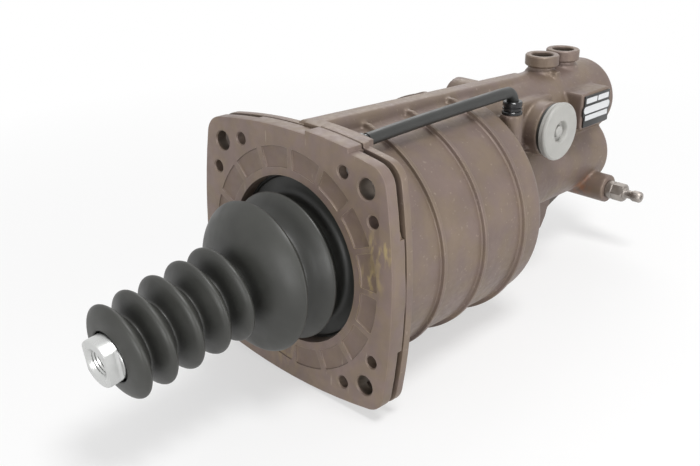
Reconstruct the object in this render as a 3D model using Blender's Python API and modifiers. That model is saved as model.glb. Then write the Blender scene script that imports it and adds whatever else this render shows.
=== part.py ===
"""Clutch servo: a compressed air and hydraulic booster that pushes a truck's clutch lever.

The main axis is X. The push rod leaves towards -X, and the valve cylinder lies above, towards +Z.
The origin is where the main axis meets the front plate's mounting face.
"""
import math

import bmesh
import bpy
from mathutils import Vector

MM = 0.001

# Clearances
GAP = 0.3 * MM
SLIDE_GAP = 0.35 * MM

# How far a cutter runs past the face that it opens, and how deep a joined piece starts inside another
PAST = 1.0 * MM
ROOTED = 5.0 * MM

# Broken edges and fillets
FINE_EDGE = 0.5 * MM
EDGE = 1.0 * MM
WIDE_EDGE = 2.0 * MM
FILLET = 3.0 * MM

# Travels
ROD_DROOP = math.radians(8.0)
EXHAUST_CLOSING = 1.3 * MM

# Points closer than this are one point: where solids meet, and along a seam
WELD_DISTANCE = 0.002 * MM
SEAM_DISTANCE = 0.01 * MM

# Roundness of turned pieces
BIG_STEPS = 32
MID_STEPS = 16
SMALL_STEPS = 10
DRILL_STEPS = 8
ROUND_STEPS = 3

# Springs: sides of a turn, and each flat end's turn and its rise in wire radii
COIL_STEPS = 8
COIL_FLAT_TURN = 0.75
COIL_FLAT_RISE = 2.6

# Flange shared by the front plate and the casting; its sides bow out by a large radius
FLANGE_BOW = 330.0 * MM
FLANGE_CORNER = 12.0 * MM
FLANGE_REACH = 73.3 * MM
SIDE_STEPS = 8
CORNER_STEPS = 4
CONTACT_RING = 72.8 * MM
PLATE_THICK = 10.0 * MM
CORNER_RELIEF = 3.2 * MM
JOINT_RADIUS = 76.5 * MM
FLANGE_GAP = 1.1 * MM
FLANGE_THICK = 4.6 * MM
CORNER_PITCH = 110.0 * MM
CORNER_HOLE = 5.5 * MM
TAP_PITCH_WIDE = 119.4 * MM
TAP_PITCH_NARROW = 78.0 * MM
TAP_HOLE = 3.4 * MM
TAB_SPAN = (-42.5 * MM, -12.0 * MM)
TAB_RISE = 2.2 * MM
TAB_BASE = 52.0 * MM
TAB_INSET = 2.0 * MM
TAB_DROP = 0.4 * MM

# Front plate
PLATE_BORE = 46.7 * MM
RIM_BORE = 53.0 * MM
RIM_DEPTH = 7.0 * MM
SPIGOT_LENGTH = 4.3 * MM
POCKET_INNER = 51.5 * MM
POCKET_OUTER = 64.0 * MM
POCKET_DEPTH = 0.9 * MM
POCKET_COUNT = 16
POCKET_RIB = 2.6 * MM
SEAL_GROOVE = (63.2 * MM, 67.2 * MM)
SEAL_GROOVE_DEPTH = 2.4 * MM

# Barrel of the casting
BARREL_BORE = 60.0 * MM
BARREL_WALL = 6.0 * MM
BARREL_TAPER = 0.5 * MM
RIB_HEIGHT = 2.0 * MM
RIB_WIDTH = 3.4 * MM
RIB_FOOT = 6.4 * MM
RIB_STATIONS = (47.7 * MM, 83.1 * MM, 119.9 * MM)
BARREL_EDGE = 135.3 * MM
BARREL_ROUND = 8.0 * MM
BARREL_ROUND_ANGLE = 75.0
DOME_INSET = 17.6 * MM
REAR_WALL_INNER = 130.0 * MM
REAR_WALL_OUTER = 142.0 * MM
REAR_DOME = 147.0 * MM
LEAD_IN = 1.2 * MM

# Rear cylinders of the casting
CYLINDER_END = 281.0 * MM
HYDRAULIC_OUTER = 27.0 * MM
HYDRAULIC_BORE = 15.0 * MM
HYDRAULIC_DEPTH = 268.0 * MM
DRILL_POINT = 5.0 * MM
END_ROUND = 3.0 * MM
HYDRAULIC_ROOT = 8.0 * MM
VALVE_ROOT = 6.0 * MM
VALVE_Z = 40.0 * MM
VALVE_OUTER = 26.0 * MM
VALVE_END = 282.0 * MM
VALVE_BORE = 15.0 * MM
VALVE_STEP = 178.0 * MM
RELAY_BORE = 14.0 * MM
INLET_BORE = 12.0 * MM
INLET_ROOM = 23.0 * MM

# Ridge with the duct along the barrel's top
RIDGE_FRONT = 12.0 * MM
RIDGE_REAR = 205.0 * MM
RIDGE_TOP_FRONT = 75.0 * MM
RIDGE_TOP_REAR = 67.4 * MM
RIDGE_FOOT_Z = 52.0 * MM
RIDGE_FOOT_HALF = 12.0 * MM
RIDGE_TOP_HALF = 6.0 * MM
RIDGE_ROUND = 2.5 * MM
DUCT_Y = 12.0 * MM
DUCT_Z = 55.0 * MM
DUCT_RADIUS = 2.5 * MM
DUCT_END = 208.0 * MM
DRILL_RADIUS = 2.0 * MM

# Pipe ports on top of the valve cylinder
PORT_STATIONS = (227.0 * MM, 251.5 * MM)
PORT_TOP = 76.6 * MM
PORT_COLLAR = 11.2 * MM
PORT_COLLAR_HEIGHT = 7.0 * MM
PORT_NECK = 8.8 * MM
PORT_FLARE = 1.2 * MM
PORT_HOLE = 7.2 * MM
PORT_HOLE_DEPTH = 17.0 * MM
PORT_DRILL = 3.0 * MM

# Vent boss, its cap and filter
VENT_X = 188.5 * MM
VENT_Z = 40.5 * MM
VENT_BOSS = 17.2 * MM
VENT_ROOT = 19.2 * MM
VENT_ROOT_END = -24.0 * MM
VENT_BOSS_END = -36.0 * MM
VENT_CHAMBER = 14.0 * MM
VENT_CHAMBER_DEPTH = 12.0 * MM
VENT_DRILL = 6.0 * MM
VENT_DRILL_START = 8.0 * MM
CAP_RADIUS = 18.4 * MM
CAP_THICK = 5.2 * MM
CAP_GROOVE = 0.8 * MM
CAP_GROOVE_AT = 2.3 * MM
CAP_RECESS = 6.6 * MM
CAP_RECESS_DEPTH = 3.2 * MM
CAP_SPIGOT = 3.2 * MM
CAP_SKIRT = 2.0 * MM
CAP_SKIRT_LENGTH = 6.0 * MM
CAP_SEAL = 1.6 * MM
CAP_SEAL_INSET = 0.5 * MM
CAP_SLOT = 3.2 * MM
CAP_SPIGOT_DEPTH = 1.2 * MM
FILTER_THICK = 4.5 * MM
FILTER_HOLE = 2.0 * MM
FAR_BOSS_X = 178.0 * MM
FAR_BOSS_Z = 50.0 * MM
FAR_BOSS_RADIUS = 14.0 * MM
FAR_BOSS_END = 33.0 * MM

# Vent tube and its two fittings
TUBE_Y = -30.5 * MM
TUBE_Z = 72.8 * MM
TUBE_RADIUS = 3.7 * MM
NOZZLE_BASE = 20.5 * MM
NOZZLE_DROP = 4.0 * MM
NOZZLE_BORE = 3.0 * MM
NOZZLE_WALL = 1.2 * MM
NOZZLE_DEPTH = 6.0 * MM
NOZZLE_DRILL_START = 45.0 * MM
NOZZLE_DRILL_SHIFT = 2.0 * MM
NOZZLE_LENGTH = 5.0 * MM
NOZZLE_COLLAR = 4.4 * MM
COLLAR_HEIGHT = 2.0 * MM
SOCKET_X = 152.5 * MM
SOCKET_TOP = 57.0 * MM
SOCKET_FOOT = 30.0 * MM
SOCKET_BOSS = 8.0 * MM
SOCKET_BORE = 4.3 * MM
SOCKET_DEPTH = 12.0 * MM
GROMMET_COLLAR = 6.2 * MM
GROMMET_HEIGHT = 5.5 * MM
GROMMET_WAIST = 4.8 * MM
TUBE_BEND = 9.0 * MM
TUBE_RISE = 12.0 * MM

# Pad and plate for the name
PAD_SPAN_X = (223.5 * MM, 257.5 * MM)
PAD_SPAN_Z = (32.0 * MM, 56.0 * MM)
PAD_FACE = -35.5 * MM
PAD_ROOT = -8.0 * MM
PAD_EDGE = 1.5 * MM
PLATE_LABEL_SIZE = (30.0 * MM, 21.0 * MM)
PLATE_LABEL_BULGE = 1.7 * MM
PLATE_LABEL_FLAT = 6.0 * MM
PLATE_LABEL_THICK = 0.8 * MM

# Bleed boss and screw
BLEED_X = 265.0 * MM
BLEED_Z = -18.6 * MM
BLEED_BOSS = 9.7 * MM
BLEED_BOSS_END = -38.5 * MM
BLEED_ROOT = -2.0 * MM
BLEED_BORE = 4.5 * MM
BLEED_DEPTH = 22.0 * MM
BLEED_COLLAR = 6.2 * MM
BLEED_COLLAR_LENGTH = 4.5 * MM
BLEED_HEX_FLAT = 11.0 * MM
BLEED_HEX_LENGTH = 8.0 * MM
BLEED_NECK = 2.9 * MM
BLEED_HEAD = 3.8 * MM
BLEED_HEAD_LENGTH = 5.5 * MM
BLEED_HOLE = 10.0 * MM
BLEED_LENGTH = 25.0 * MM
BLEED_DRILL = 1.3 * MM
BLEED_FEED_SHIFT = (3.0 * MM, 6.0 * MM)

# Ball plug that closes a drilled passage
BALL_PLUG_X = 173.0 * MM
BALL_PLUG_ANGLE = math.radians(-122.0)
BALL_PLUG_RADIUS = 2.4 * MM
BALL_PLUG_SUNK = 1.0 * MM

# Stiffening web below the hydraulic cylinder
WEB_THICK = 8.0 * MM
WEB_OUTLINE = ((138.0, -16.0), (138.0, -60.0), (222.0, -55.0), (237.0, -50.0),
               (242.0, -42.0), (243.5, -36.0), (266.0, -27.5), (266.0, -16.0))

# Cover screws
SCREW_SHANK = 3.1 * MM
SCREW_HEAD = 6.5 * MM
SCREW_HEAD_LENGTH = 6.0 * MM
SCREW_SOCKET_FLAT = 5.0 * MM
SCREW_SOCKET_DEPTH = 3.5 * MM
SCREW_TIP_RECESS = 5.0 * MM
SPOT_FACE = 7.2 * MM
SPOT_LENGTH = 12.0 * MM

# Ball joint between the piston and the push rod
BALL_X = -25.0 * MM
BALL_RADIUS = 11.0 * MM
HUB_FRONT = -35.0 * MM
HUB_OUTER = 19.0 * MM
HUB_BORE = 15.5 * MM
SEAT_BACK = -8.5 * MM
SEAT_HOLE = 2.5 * MM
RETAINER_MOUTH = 9.9 * MM
RETAINER_FLARE = 1.5 * MM
CLIP_WIDTH = 1.2 * MM
CLIP_DEPTH = 1.0 * MM
CLIP_RADIAL = 2.6 * MM
CLIP_INSET = 1.2 * MM

# Push rod and rod end, measured along the rod from the ball's centre
ROD_RADIUS = 7.0 * MM
ROD_THROAT = 6.2 * MM
ROD_THROAT_LENGTH = 6.0 * MM
ROD_SHOULDER = 74.0 * MM
ROD_STUB = 6.0 * MM
ROD_STUB_END = 86.0 * MM
ROD_END_FACE = 98.5 * MM
ROD_END_RADIUS = 12.5 * MM
ROD_END_HOLE = 7.0 * MM
ROD_END_EDGE = 1.2 * MM
ROD_END_FLAT = 19.0 * MM
ROD_END_FLAT_LENGTH = 7.0 * MM

# Boot; the crests are (station, radius) and the bell's points (past the neck, radius), in millimetres
BOOT_WALL = 2.0 * MM
BOOT_VALLEY = 15.8 * MM
BOOT_CRESTS = ((-110.8, 24.9), (-96.2, 25.3), (-80.5, 25.5), (-64.4, 25.8), (-49.5, 26.2))
BOOT_MOUTH = -115.8 * MM
BOOT_MOUTH_RADIUS = 13.7 * MM
BOOT_NECK = -42.0 * MM
BOOT_BELL = ((2.2, 22.5), (5.6, 31.0), (10.0, 37.5))
BOOT_CONE_CREST = 41.3 * MM
BOOT_CONE_X = -26.6 * MM
BOOT_SECOND_X = -6.5 * MM
BOOT_CREST_FLAT = 2.2 * MM
BOOT_FLANK = 5.5 * MM
BOOT_FLANK_RISE = 3.2 * MM
BOOT_INNER_VALLEY = 31.5 * MM
BOOT_LAST_VALLEY = (34.5 * MM, 2.0 * MM)
BOOT_RIM_NECK = 39.5 * MM
BOOT_RIM = 52.6 * MM
BOOT_RIM_THICK = 2.6 * MM
BOOT_BEND_START = -28.0 * MM
BOOT_BEND_END = -43.0 * MM
BOOT_STEPS = 20
RING_BORE = 47.2 * MM

# Air piston
PISTON_FRONT = 16.0 * MM
PISTON_THICK = 20.0 * MM
PISTON_RADIUS = 59.4 * MM
PISTON_WEB = 7.0 * MM
PISTON_WEB_INSET = 5.0 * MM
PISTON_RIM = 6.0 * MM
PISTON_DRAFT = 2.0 * MM
PISTON_BOSS = 22.0 * MM
PISTON_BOSS_LENGTH = 8.0 * MM
PISTON_SEAL_SPAN = (22.0 * MM, 27.0 * MM)
PISTON_BAND_SPAN = (29.5 * MM, 34.0 * MM)
PISTON_GROOVE = 55.8 * MM
LIP_LENGTH = 2.0 * MM
BAND_GROOVE = 57.4 * MM
PISTON_SPRING_FRONT = 29.0 * MM
PISTON_SPRING_REAR = 43.0 * MM
PISTON_SPRING_WIRE = 1.6 * MM
PISTON_SPRING_TURNS = 5.5

# Hydraulic plunger and its gland
PLUNGER_RADIUS = 14.0 * MM
PLUNGER_REAR = 165.0 * MM
PLUNGER_STUB = 9.0 * MM
PLUNGER_STUB_LENGTH = 14.0 * MM
GLAND_BORE = 20.0 * MM
GLAND_CLIP = 131.5 * MM
GLAND_GUIDE = (133.3 * MM, 140.5 * MM)
GLAND_SEAL = (140.8 * MM, 147.6 * MM)
GLAND_END = 148.0 * MM
SEAL_HEEL = 2.4 * MM
SEAL_LIP = 1.2 * MM

# Control valve, stations along its own axis
VALVE_CLIP = 131.5 * MM
VALVE_PLUG = (133.3 * MM, 144.0 * MM)
CONTROL_FEED = 151.5 * MM
VALVE_SLEEVE = (158.0 * MM, 177.7 * MM)
PLUG_GROOVE = 4.0 * MM
SLEEVE_GROOVE = 8.0 * MM
CONTROL_RADIUS = 7.0 * MM
CONTROL_FRONT = 155.0 * MM
CONTROL_LENGTH = 29.0 * MM
RELAY_GUARD = 8.5 * MM
RELAY_GUARD_LENGTH = 10.7 * MM
RELAY_HEAD_LENGTH = 9.0 * MM
RELAY_STEM = 5.0 * MM
RELAY_HOLLOW = 3.0 * MM
RELAY_FLOOR = 3.0 * MM
RELAY_GROOVE = 2.5 * MM
RELAY_WINDOW = 3.5 * MM
RELAY_SPRING_ROOM = 7.5 * MM
SEAT_LENGTH = 5.2 * MM
SEAT_OPENING = 8.0 * MM
DISC_RADIUS = 9.6 * MM
DISC_THICK = 5.0 * MM
DISC_HUB = 5.0 * MM
DISC_HUB_HEIGHT = 2.0 * MM
RING_SECTION = 2.6 * MM
RING_PINCH = 0.1 * MM
RELAY_SPRING_RADIUS = 9.5 * MM
RELAY_SPRING_WIRE = 0.6 * MM
RELAY_SPRING_TURNS = 3
INLET_SPRING_RADIUS = 6.5 * MM
INLET_SPRING_WIRE = 0.6 * MM
INLET_SPRING_TURNS = 5

# Stations worked out from the sizes above
FLANGE_FRONT = PLATE_THICK + FLANGE_GAP
FLANGE_BACK = FLANGE_FRONT + FLANGE_THICK
CASTING_FRONT = PLATE_THICK + GAP
BARREL_OUTER = BARREL_BORE + BARREL_WALL
NOZZLE_Z = TUBE_Z - NOZZLE_DROP
PISTON_BACK = PISTON_FRONT + PISTON_THICK
PISTON_BOSS_BACK = PISTON_BACK + PISTON_BOSS_LENGTH
BALL_CLIP = HUB_FRONT + CLIP_INSET
CONTROL_REAR = CONTROL_FRONT + CONTROL_LENGTH
RELAY_FRONT = CONTROL_REAR + GAP
RELAY_HEAD = RELAY_FRONT + RELAY_GUARD_LENGTH
RELAY_BACK = RELAY_HEAD + RELAY_HEAD_LENGTH
SEAT_FRONT = RELAY_BACK + RELAY_SPRING_ROOM
SEAT_STEP = SEAT_FRONT + SEAT_LENGTH + GAP
INLET_DEPTH = SEAT_STEP + INLET_ROOM
DISC_FRONT = SEAT_STEP + GAP
STEM_END = DISC_FRONT - EXHAUST_CLOSING

# Where a profile's (radius, station) points lie for each direction that a piece is turned about
ALONG_X = "X"
ALONG_MINUS_Y = "-Y"
UPRIGHT = "Z"


def clear_scene():
    for obj in list(bpy.data.objects):
        bpy.data.objects.remove(obj)


def new_collection(name):
    collection = bpy.data.collections.new(name)
    bpy.context.scene.collection.children.link(collection)
    return collection


def make_material(name, colour, roughness, metallic):
    material = bpy.data.materials.new(name)
    material.use_nodes = True
    shader = material.node_tree.nodes["Principled BSDF"]
    shader.inputs["Base Color"].default_value = (*colour, 1.0)
    shader.inputs["Roughness"].default_value = roughness
    shader.inputs["Metallic"].default_value = metallic
    return material


def add_object(name, mesh, material=None):
    """Link a mesh as one part, or as a cutter when it has no material."""
    obj = bpy.data.objects.new(name, mesh)
    if material is None:
        cutters.objects.link(obj)
        obj.hide_render = True
        obj.display_type = "WIRE"
    else:
        parts.objects.link(obj)
        mesh.materials.append(material)
    return obj


def signed_area(points):
    area = 0.0
    for (x0, y0), (x1, y1) in zip(points, points[1:] + points[:1]):
        area += x0 * y1 - x1 * y0
    return area / 2


def on_profile_plane(radius, station, turn):
    """Place a profile point beside the axis that it is turned about."""
    if turn == ALONG_X:
        return (station, radius, 0.0)
    if turn == ALONG_MINUS_Y:
        return (0.0, -station, radius)
    return (radius, 0.0, station)


def turned(name, profile, material=None, place=(0, 0, 0), turn=ALONG_X, steps=MID_STEPS):
    """Turn a profile of (radius, station) points about the X, Y or Z axis."""
    points = list(profile)
    runs_up = signed_area(points) > 0
    if runs_up != (turn == ALONG_MINUS_Y):
        points.reverse()
    on_axis = [index for index, point in enumerate(points) if point[0] == 0.0]
    if on_axis:
        start = next(i for i in on_axis if points[i - 1][0] == 0.0)
        points = points[start:] + points[:start]
    mesh = bpy.data.meshes.new(name)
    count = len(points)
    edges = [(index, index + 1) for index in range(count - 1)]
    if not on_axis:
        edges.append((count - 1, 0))
    mesh.from_pydata([on_profile_plane(*point, turn) for point in points], edges, [])
    obj = add_object(name, mesh, material)
    screw = obj.modifiers.new("turn", "SCREW")
    screw.axis = turn[-1]
    screw.steps = steps
    screw.render_steps = steps
    screw.use_merge_vertices = True
    screw.merge_threshold = SEAM_DISTANCE
    screw.use_smooth_shade = True
    obj.location = place
    return obj


def cylinder(name, radius, start, end, material=None, place=(0, 0, 0), turn=ALONG_X,
             steps=MID_STEPS, edge=0.0):
    """Make a round bar between two stations on its own axis, with its far edge rounded."""
    profile = [(0.0, start), (radius, start)]
    if edge:
        profile += arc((radius - edge, end - math.copysign(edge, end - start)), edge,
                       0.0, math.copysign(90.0, end - start), ROUND_STEPS)
    else:
        profile.append((radius, end))
    profile.append((0.0, end))
    return turned(name, profile, material, place, turn, steps)


def ring(name, inner, outer, start, end, material, place=(0, 0, 0), turn=ALONG_X,
         steps=MID_STEPS, edge=0.0):
    """Make a plain ring, with its four edges chamfered by the edge size."""
    profile = [(inner, start), (outer, start), (outer, end), (inner, end)]
    if edge:
        profile = [(inner + edge, start), (outer - edge, start), (outer, start + edge),
                   (outer, end - edge), (outer - edge, end), (inner + edge, end),
                   (inner, end - edge), (inner, start + edge)]
    return turned(name, profile, material, place, turn, steps)


def arc(centre, radius, start, end, steps):
    """Points on an arc in the profile's plane; the angles are in degrees from +radius."""
    points = []
    for index in range(steps + 1):
        angle = math.radians(start + (end - start) * index / steps)
        points.append((centre[0] + radius * math.cos(angle), centre[1] + radius * math.sin(angle)))
    return points


def block(name, low, high, material=None, edge=0.0, segments=2, only_along=None):
    """Make a box between two corners; its edges, or those along one axis, are rounded."""
    bm = bmesh.new()
    bmesh.ops.create_cube(bm, size=1.0)
    for vert in bm.verts:
        for axis in range(3):
            vert.co[axis] = low[axis] if vert.co[axis] < 0 else high[axis]
    if edge:
        chosen = bm.edges[:]
        if only_along is not None:
            chosen = [e for e in bm.edges
                      if abs((e.verts[0].co - e.verts[1].co)[only_along]) > 0.9 * e.calc_length()]
        bmesh.ops.bevel(bm, geom=chosen, offset=edge, segments=segments, profile=0.5,
                        affect="EDGES")
    mesh = bpy.data.meshes.new(name)
    bm.to_mesh(mesh)
    bm.free()
    return add_object(name, mesh, material)


def outline_solid(name, outline, thickness, material=None, turn=0.0):
    """Extrude a closed outline about the XZ plane, or about the YZ plane when turned about Z."""
    curve = bpy.data.curves.new(name, "CURVE")
    curve.dimensions = "2D"
    curve.fill_mode = "BOTH"
    curve.extrude = thickness / 2
    spline = curve.splines.new("POLY")
    spline.points.add(len(outline) - 1)
    for point, (across, up) in zip(spline.points, outline):
        point.co = (across, up, 0.0, 1.0)
    spline.use_cyclic_u = True
    source = bpy.data.objects.new(name + "_outline", curve)
    return curve_to_solid(name, source, material, (math.pi / 2, 0.0, turn))


def curve_to_solid(name, source, material, rotation=(0.0, 0.0, 0.0)):
    """Make one welded mesh object from a curve object, turned by the rotation."""
    bpy.context.scene.collection.objects.link(source)
    source.rotation_euler = rotation
    bpy.context.view_layer.update()
    evaluated = source.evaluated_get(bpy.context.evaluated_depsgraph_get())
    mesh = bpy.data.meshes.new_from_object(evaluated)
    bm = bmesh.new()
    bm.from_mesh(mesh)
    bmesh.ops.remove_doubles(bm, verts=bm.verts, dist=SEAM_DISTANCE)
    bmesh.ops.recalc_face_normals(bm, faces=bm.faces)
    bm.to_mesh(mesh)
    bm.free()
    mesh.materials.clear()
    obj = add_object(name, mesh, material)
    obj.matrix_world = source.matrix_world
    bpy.data.objects.remove(source)
    return obj


def wire(name, points, radius, material, resolution=1):
    """Make a round bar along a route of points."""
    curve = bpy.data.curves.new(name, "CURVE")
    curve.dimensions = "3D"
    curve.bevel_depth = radius
    curve.bevel_resolution = resolution
    curve.use_fill_caps = True
    spline = curve.splines.new("POLY")
    spline.points.add(len(points) - 1)
    for point, place in zip(spline.points, points):
        point.co = (*place, 1.0)
    source = bpy.data.objects.new(name + "_route", curve)
    return curve_to_solid(name, source, material)


def coil(name, start, end, radius_start, radius_end, turns, wire_radius, material, centre_z=0.0):
    """Make a compression spring along X whose end turns lie flat."""
    steps = round(turns * COIL_STEPS)
    flat = COIL_STEPS * COIL_FLAT_TURN
    flat_rise = COIL_FLAT_RISE * wire_radius
    rise_steps = steps - 2 * flat
    pitch = end - start - 2 * wire_radius - 2 * flat_rise
    points = []
    for index in range(steps + 1):
        share = index / steps
        head = min(index, flat) / flat
        tail = max(0.0, index - (steps - flat)) / flat
        middle = min(max(index - flat, 0.0), rise_steps) / rise_steps
        x = start + wire_radius + (head + tail) * flat_rise + middle * pitch
        radius = radius_start + (radius_end - radius_start) * share
        angle = 2 * math.pi * index / COIL_STEPS
        points.append((x, radius * math.cos(angle), centre_z + radius * math.sin(angle)))
    return wire(name, points, wire_radius, material)


def apply_boolean(target, other, operation):
    """Join or cut, then weld the points that fall together where surfaces meet."""
    boolean = target.modifiers.new(other.name, "BOOLEAN")
    boolean.operation = operation
    boolean.solver = "EXACT"
    boolean.object = other
    weld = target.modifiers.new(other.name + "_weld", "WELD")
    weld.merge_threshold = WELD_DISTANCE


def cut(target, *others):
    for other in others:
        apply_boolean(target, other, "DIFFERENCE")


def join(target, *others):
    for other in others:
        apply_boolean(target, other, "UNION")


def hexagon(name, flat, start, end, place=(0, 0, 0), turn=ALONG_X, material=None):
    """Make a six-sided bar whose width across flats is given."""
    return cylinder(name, flat / math.sqrt(3), start, end, material, place, turn, steps=6)


def slab(name, outline, start, end, material=None):
    """Extrude a closed outline of (Y, Z) points between two stations on the main axis."""
    solid = outline_solid(name, outline, end - start, material, turn=math.pi / 2)
    solid.location.x = (start + end) / 2
    return solid


def bowed(first, last, rise=0.0):
    """Points along the flange's bowed top side between two Y places, raised above it."""
    sunk = FLANGE_BOW - FLANGE_REACH
    places = [first + (last - first) * step / SIDE_STEPS for step in range(SIDE_STEPS + 1)]
    return [(y, math.sqrt(FLANGE_BOW ** 2 - y ** 2) - sunk + rise) for y in places]


def flange_outline():
    """Square with four bowed sides, rounded corners and a tab on its top side, as (Y, Z) points."""
    sunk = FLANGE_BOW - FLANGE_REACH
    centre = (math.sqrt(2 * (FLANGE_BOW - FLANGE_CORNER) ** 2 - sunk ** 2) - sunk) / 2
    meet = math.atan2(centre, centre + sunk)
    reach = FLANGE_BOW * math.sin(meet)
    corner = []
    for step in range(1, CORNER_STEPS):
        angle = meet + (math.pi / 2 - 2 * meet) * step / CORNER_STEPS
        corner.append((centre + FLANGE_CORNER * math.sin(angle), centre + FLANGE_CORNER * math.cos(angle)))
    top = bowed(-reach, TAB_SPAN[0]) + bowed(*TAB_SPAN, TAB_RISE) + bowed(TAB_SPAN[1], reach)
    outline = top + corner
    side = bowed(-reach, reach) + corner
    for _ in range(3):
        side = [(z, -y) for y, z in side]
        outline += side
    return outline


def flange_blank(name, start, end, material=None):
    return slab(name, flange_outline(), start, end, material)


def nozzle_tab():
    """Tab of the casting that carries the nozzle; it runs into the ridge."""
    first = TAB_SPAN[0] + TAB_INSET
    outline = [(0.0, TAB_BASE), (first, TAB_BASE)] + bowed(first, 0.0, TAB_RISE - TAB_DROP)
    return slab("nozzle_tab", outline, CASTING_FRONT + GAP, NOZZLE_BASE)


def corner_places():
    half = CORNER_PITCH / 2
    return [(y, z) for y in (-half, half) for z in (-half, half)]


def tapped_places():
    wide = TAP_PITCH_WIDE / 2
    narrow = TAP_PITCH_NARROW / 2
    screws = [(y, z) for y in (-narrow, narrow) for z in (-wide, wide)]
    spare = [(y, z) for y in (-wide, wide) for z in (-narrow, narrow)]
    return screws, spare


def barrel_profile():
    """Outside of the barrel from the front ring to the rear dome, as (radius, station)."""
    inside_flange = (FLANGE_FRONT + FLANGE_BACK) / 2
    points = [(0.0, CASTING_FRONT), (CONTACT_RING, CASTING_FRONT), (CONTACT_RING, inside_flange),
              (BARREL_OUTER + BARREL_TAPER, inside_flange)]
    for station in RIB_STATIONS:
        points += [(BARREL_OUTER, station - RIB_FOOT / 2),
                   (BARREL_OUTER + RIB_HEIGHT, station - RIB_WIDTH / 2),
                   (BARREL_OUTER + RIB_HEIGHT, station + RIB_WIDTH / 2),
                   (BARREL_OUTER, station + RIB_FOOT / 2)]
    points += arc((BARREL_OUTER - BARREL_ROUND, BARREL_EDGE - BARREL_ROUND / 2), BARREL_ROUND, 0,
                  BARREL_ROUND_ANGLE, ROUND_STEPS)
    points += [(BARREL_OUTER - DOME_INSET, REAR_WALL_OUTER), (HYDRAULIC_OUTER, REAR_DOME), (0.0, REAR_DOME)]
    return points


def cavity_profile():
    """Piston bore with a lead-in at its mouth."""
    return [(0.0, 0.0), (BARREL_BORE + LEAD_IN, 0.0), (BARREL_BORE + LEAD_IN, CASTING_FRONT),
            (BARREL_BORE, CASTING_FRONT + 2 * LEAD_IN)] + arc(
                (BARREL_BORE - FILLET, REAR_WALL_INNER - FILLET), FILLET, 0, 90, ROUND_STEPS) + [
                    (0.0, REAR_WALL_INNER)]


def ridge():
    """Tapered ridge over the duct, from the flange to the valve cylinder."""
    bm = bmesh.new()
    bmesh.ops.create_cube(bm, size=1.0)
    for vert in bm.verts:
        front = vert.co.x < 0
        upper = vert.co.z > 0
        side = math.copysign(1.0, vert.co.y)
        top = RIDGE_TOP_FRONT if front else RIDGE_TOP_REAR
        vert.co.x = RIDGE_FRONT if front else RIDGE_REAR
        vert.co.y = side * (RIDGE_TOP_HALF if upper else RIDGE_FOOT_HALF)
        vert.co.z = top if upper else RIDGE_FOOT_Z
    top_edges = [e for e in bm.edges if all(v.co.z > RIDGE_TOP_REAR - EDGE for v in e.verts)]
    bmesh.ops.bevel(bm, geom=top_edges, offset=RIDGE_ROUND, segments=3, profile=0.5, affect="EDGES")
    mesh = bpy.data.meshes.new("ridge")
    bm.to_mesh(mesh)
    bm.free()
    return add_object("ridge", mesh)


def port_tower(index, station):
    """Collar and neck of one pipe port, standing on the valve cylinder."""
    collar_base = PORT_TOP - PORT_COLLAR_HEIGHT
    profile = [(0.0, VALVE_Z), (PORT_NECK, VALVE_Z), (PORT_NECK, collar_base - PORT_FLARE),
               (PORT_NECK + PORT_FLARE, collar_base), (PORT_COLLAR, collar_base + EDGE),
               (PORT_COLLAR, PORT_TOP - FINE_EDGE), (PORT_COLLAR - FINE_EDGE, PORT_TOP), (0.0, PORT_TOP)]
    return turned(f"port_tower_{index}", profile, place=(station, 0, 0), turn=UPRIGHT)


def cylinder_housing():
    housing = turned("cylinder_housing", barrel_profile(), alloy, steps=BIG_STEPS)
    join(housing, flange_blank("barrel_flange", FLANGE_FRONT, FLANGE_BACK))
    join(housing, nozzle_tab())
    join(housing, ridge())
    join(housing, cylinder("hydraulic_outer", HYDRAULIC_OUTER, REAR_WALL_INNER + HYDRAULIC_ROOT,
                           CYLINDER_END, edge=END_ROUND))
    join(housing, cylinder("valve_outer", VALVE_OUTER, REAR_WALL_INNER + VALVE_ROOT, VALVE_END,
                           place=(0, 0, VALVE_Z), edge=END_ROUND))
    web = [(x * MM, z * MM) for x, z in WEB_OUTLINE]
    join(housing, outline_solid("web", web, WEB_THICK))
    for index, station in enumerate(PORT_STATIONS, 1):
        join(housing, port_tower(index, station))
    vent_axis = (VENT_X, 0, VENT_Z)
    join(housing, cylinder("vent_root", VENT_ROOT, ROOTED - EDGE, -VENT_ROOT_END, place=vent_axis,
                           turn=ALONG_MINUS_Y, edge=WIDE_EDGE))
    join(housing, cylinder("vent_boss", VENT_BOSS, ROOTED, -VENT_BOSS_END, place=vent_axis,
                           turn=ALONG_MINUS_Y, edge=EDGE))
    join(housing, cylinder("far_boss", FAR_BOSS_RADIUS, -ROOTED, -FAR_BOSS_END,
                           place=(FAR_BOSS_X, 0, FAR_BOSS_Z), turn=ALONG_MINUS_Y, edge=FILLET))
    join(housing, cylinder("socket_boss", SOCKET_BOSS, SOCKET_FOOT, SOCKET_TOP,
                           place=(SOCKET_X, TUBE_Y, 0), turn=UPRIGHT, steps=SMALL_STEPS, edge=EDGE))
    join(housing, block("name_pad", (PAD_SPAN_X[0], PAD_FACE, PAD_SPAN_Z[0]),
                        (PAD_SPAN_X[1], PAD_ROOT, PAD_SPAN_Z[1]), edge=PAD_EDGE))
    join(housing, cylinder("bleed_boss", BLEED_BOSS, BLEED_ROOT, -BLEED_BOSS_END,
                           place=(BLEED_X, 0, BLEED_Z), turn=ALONG_MINUS_Y, edge=EDGE))
    bore_housing(housing)
    return housing


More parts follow.
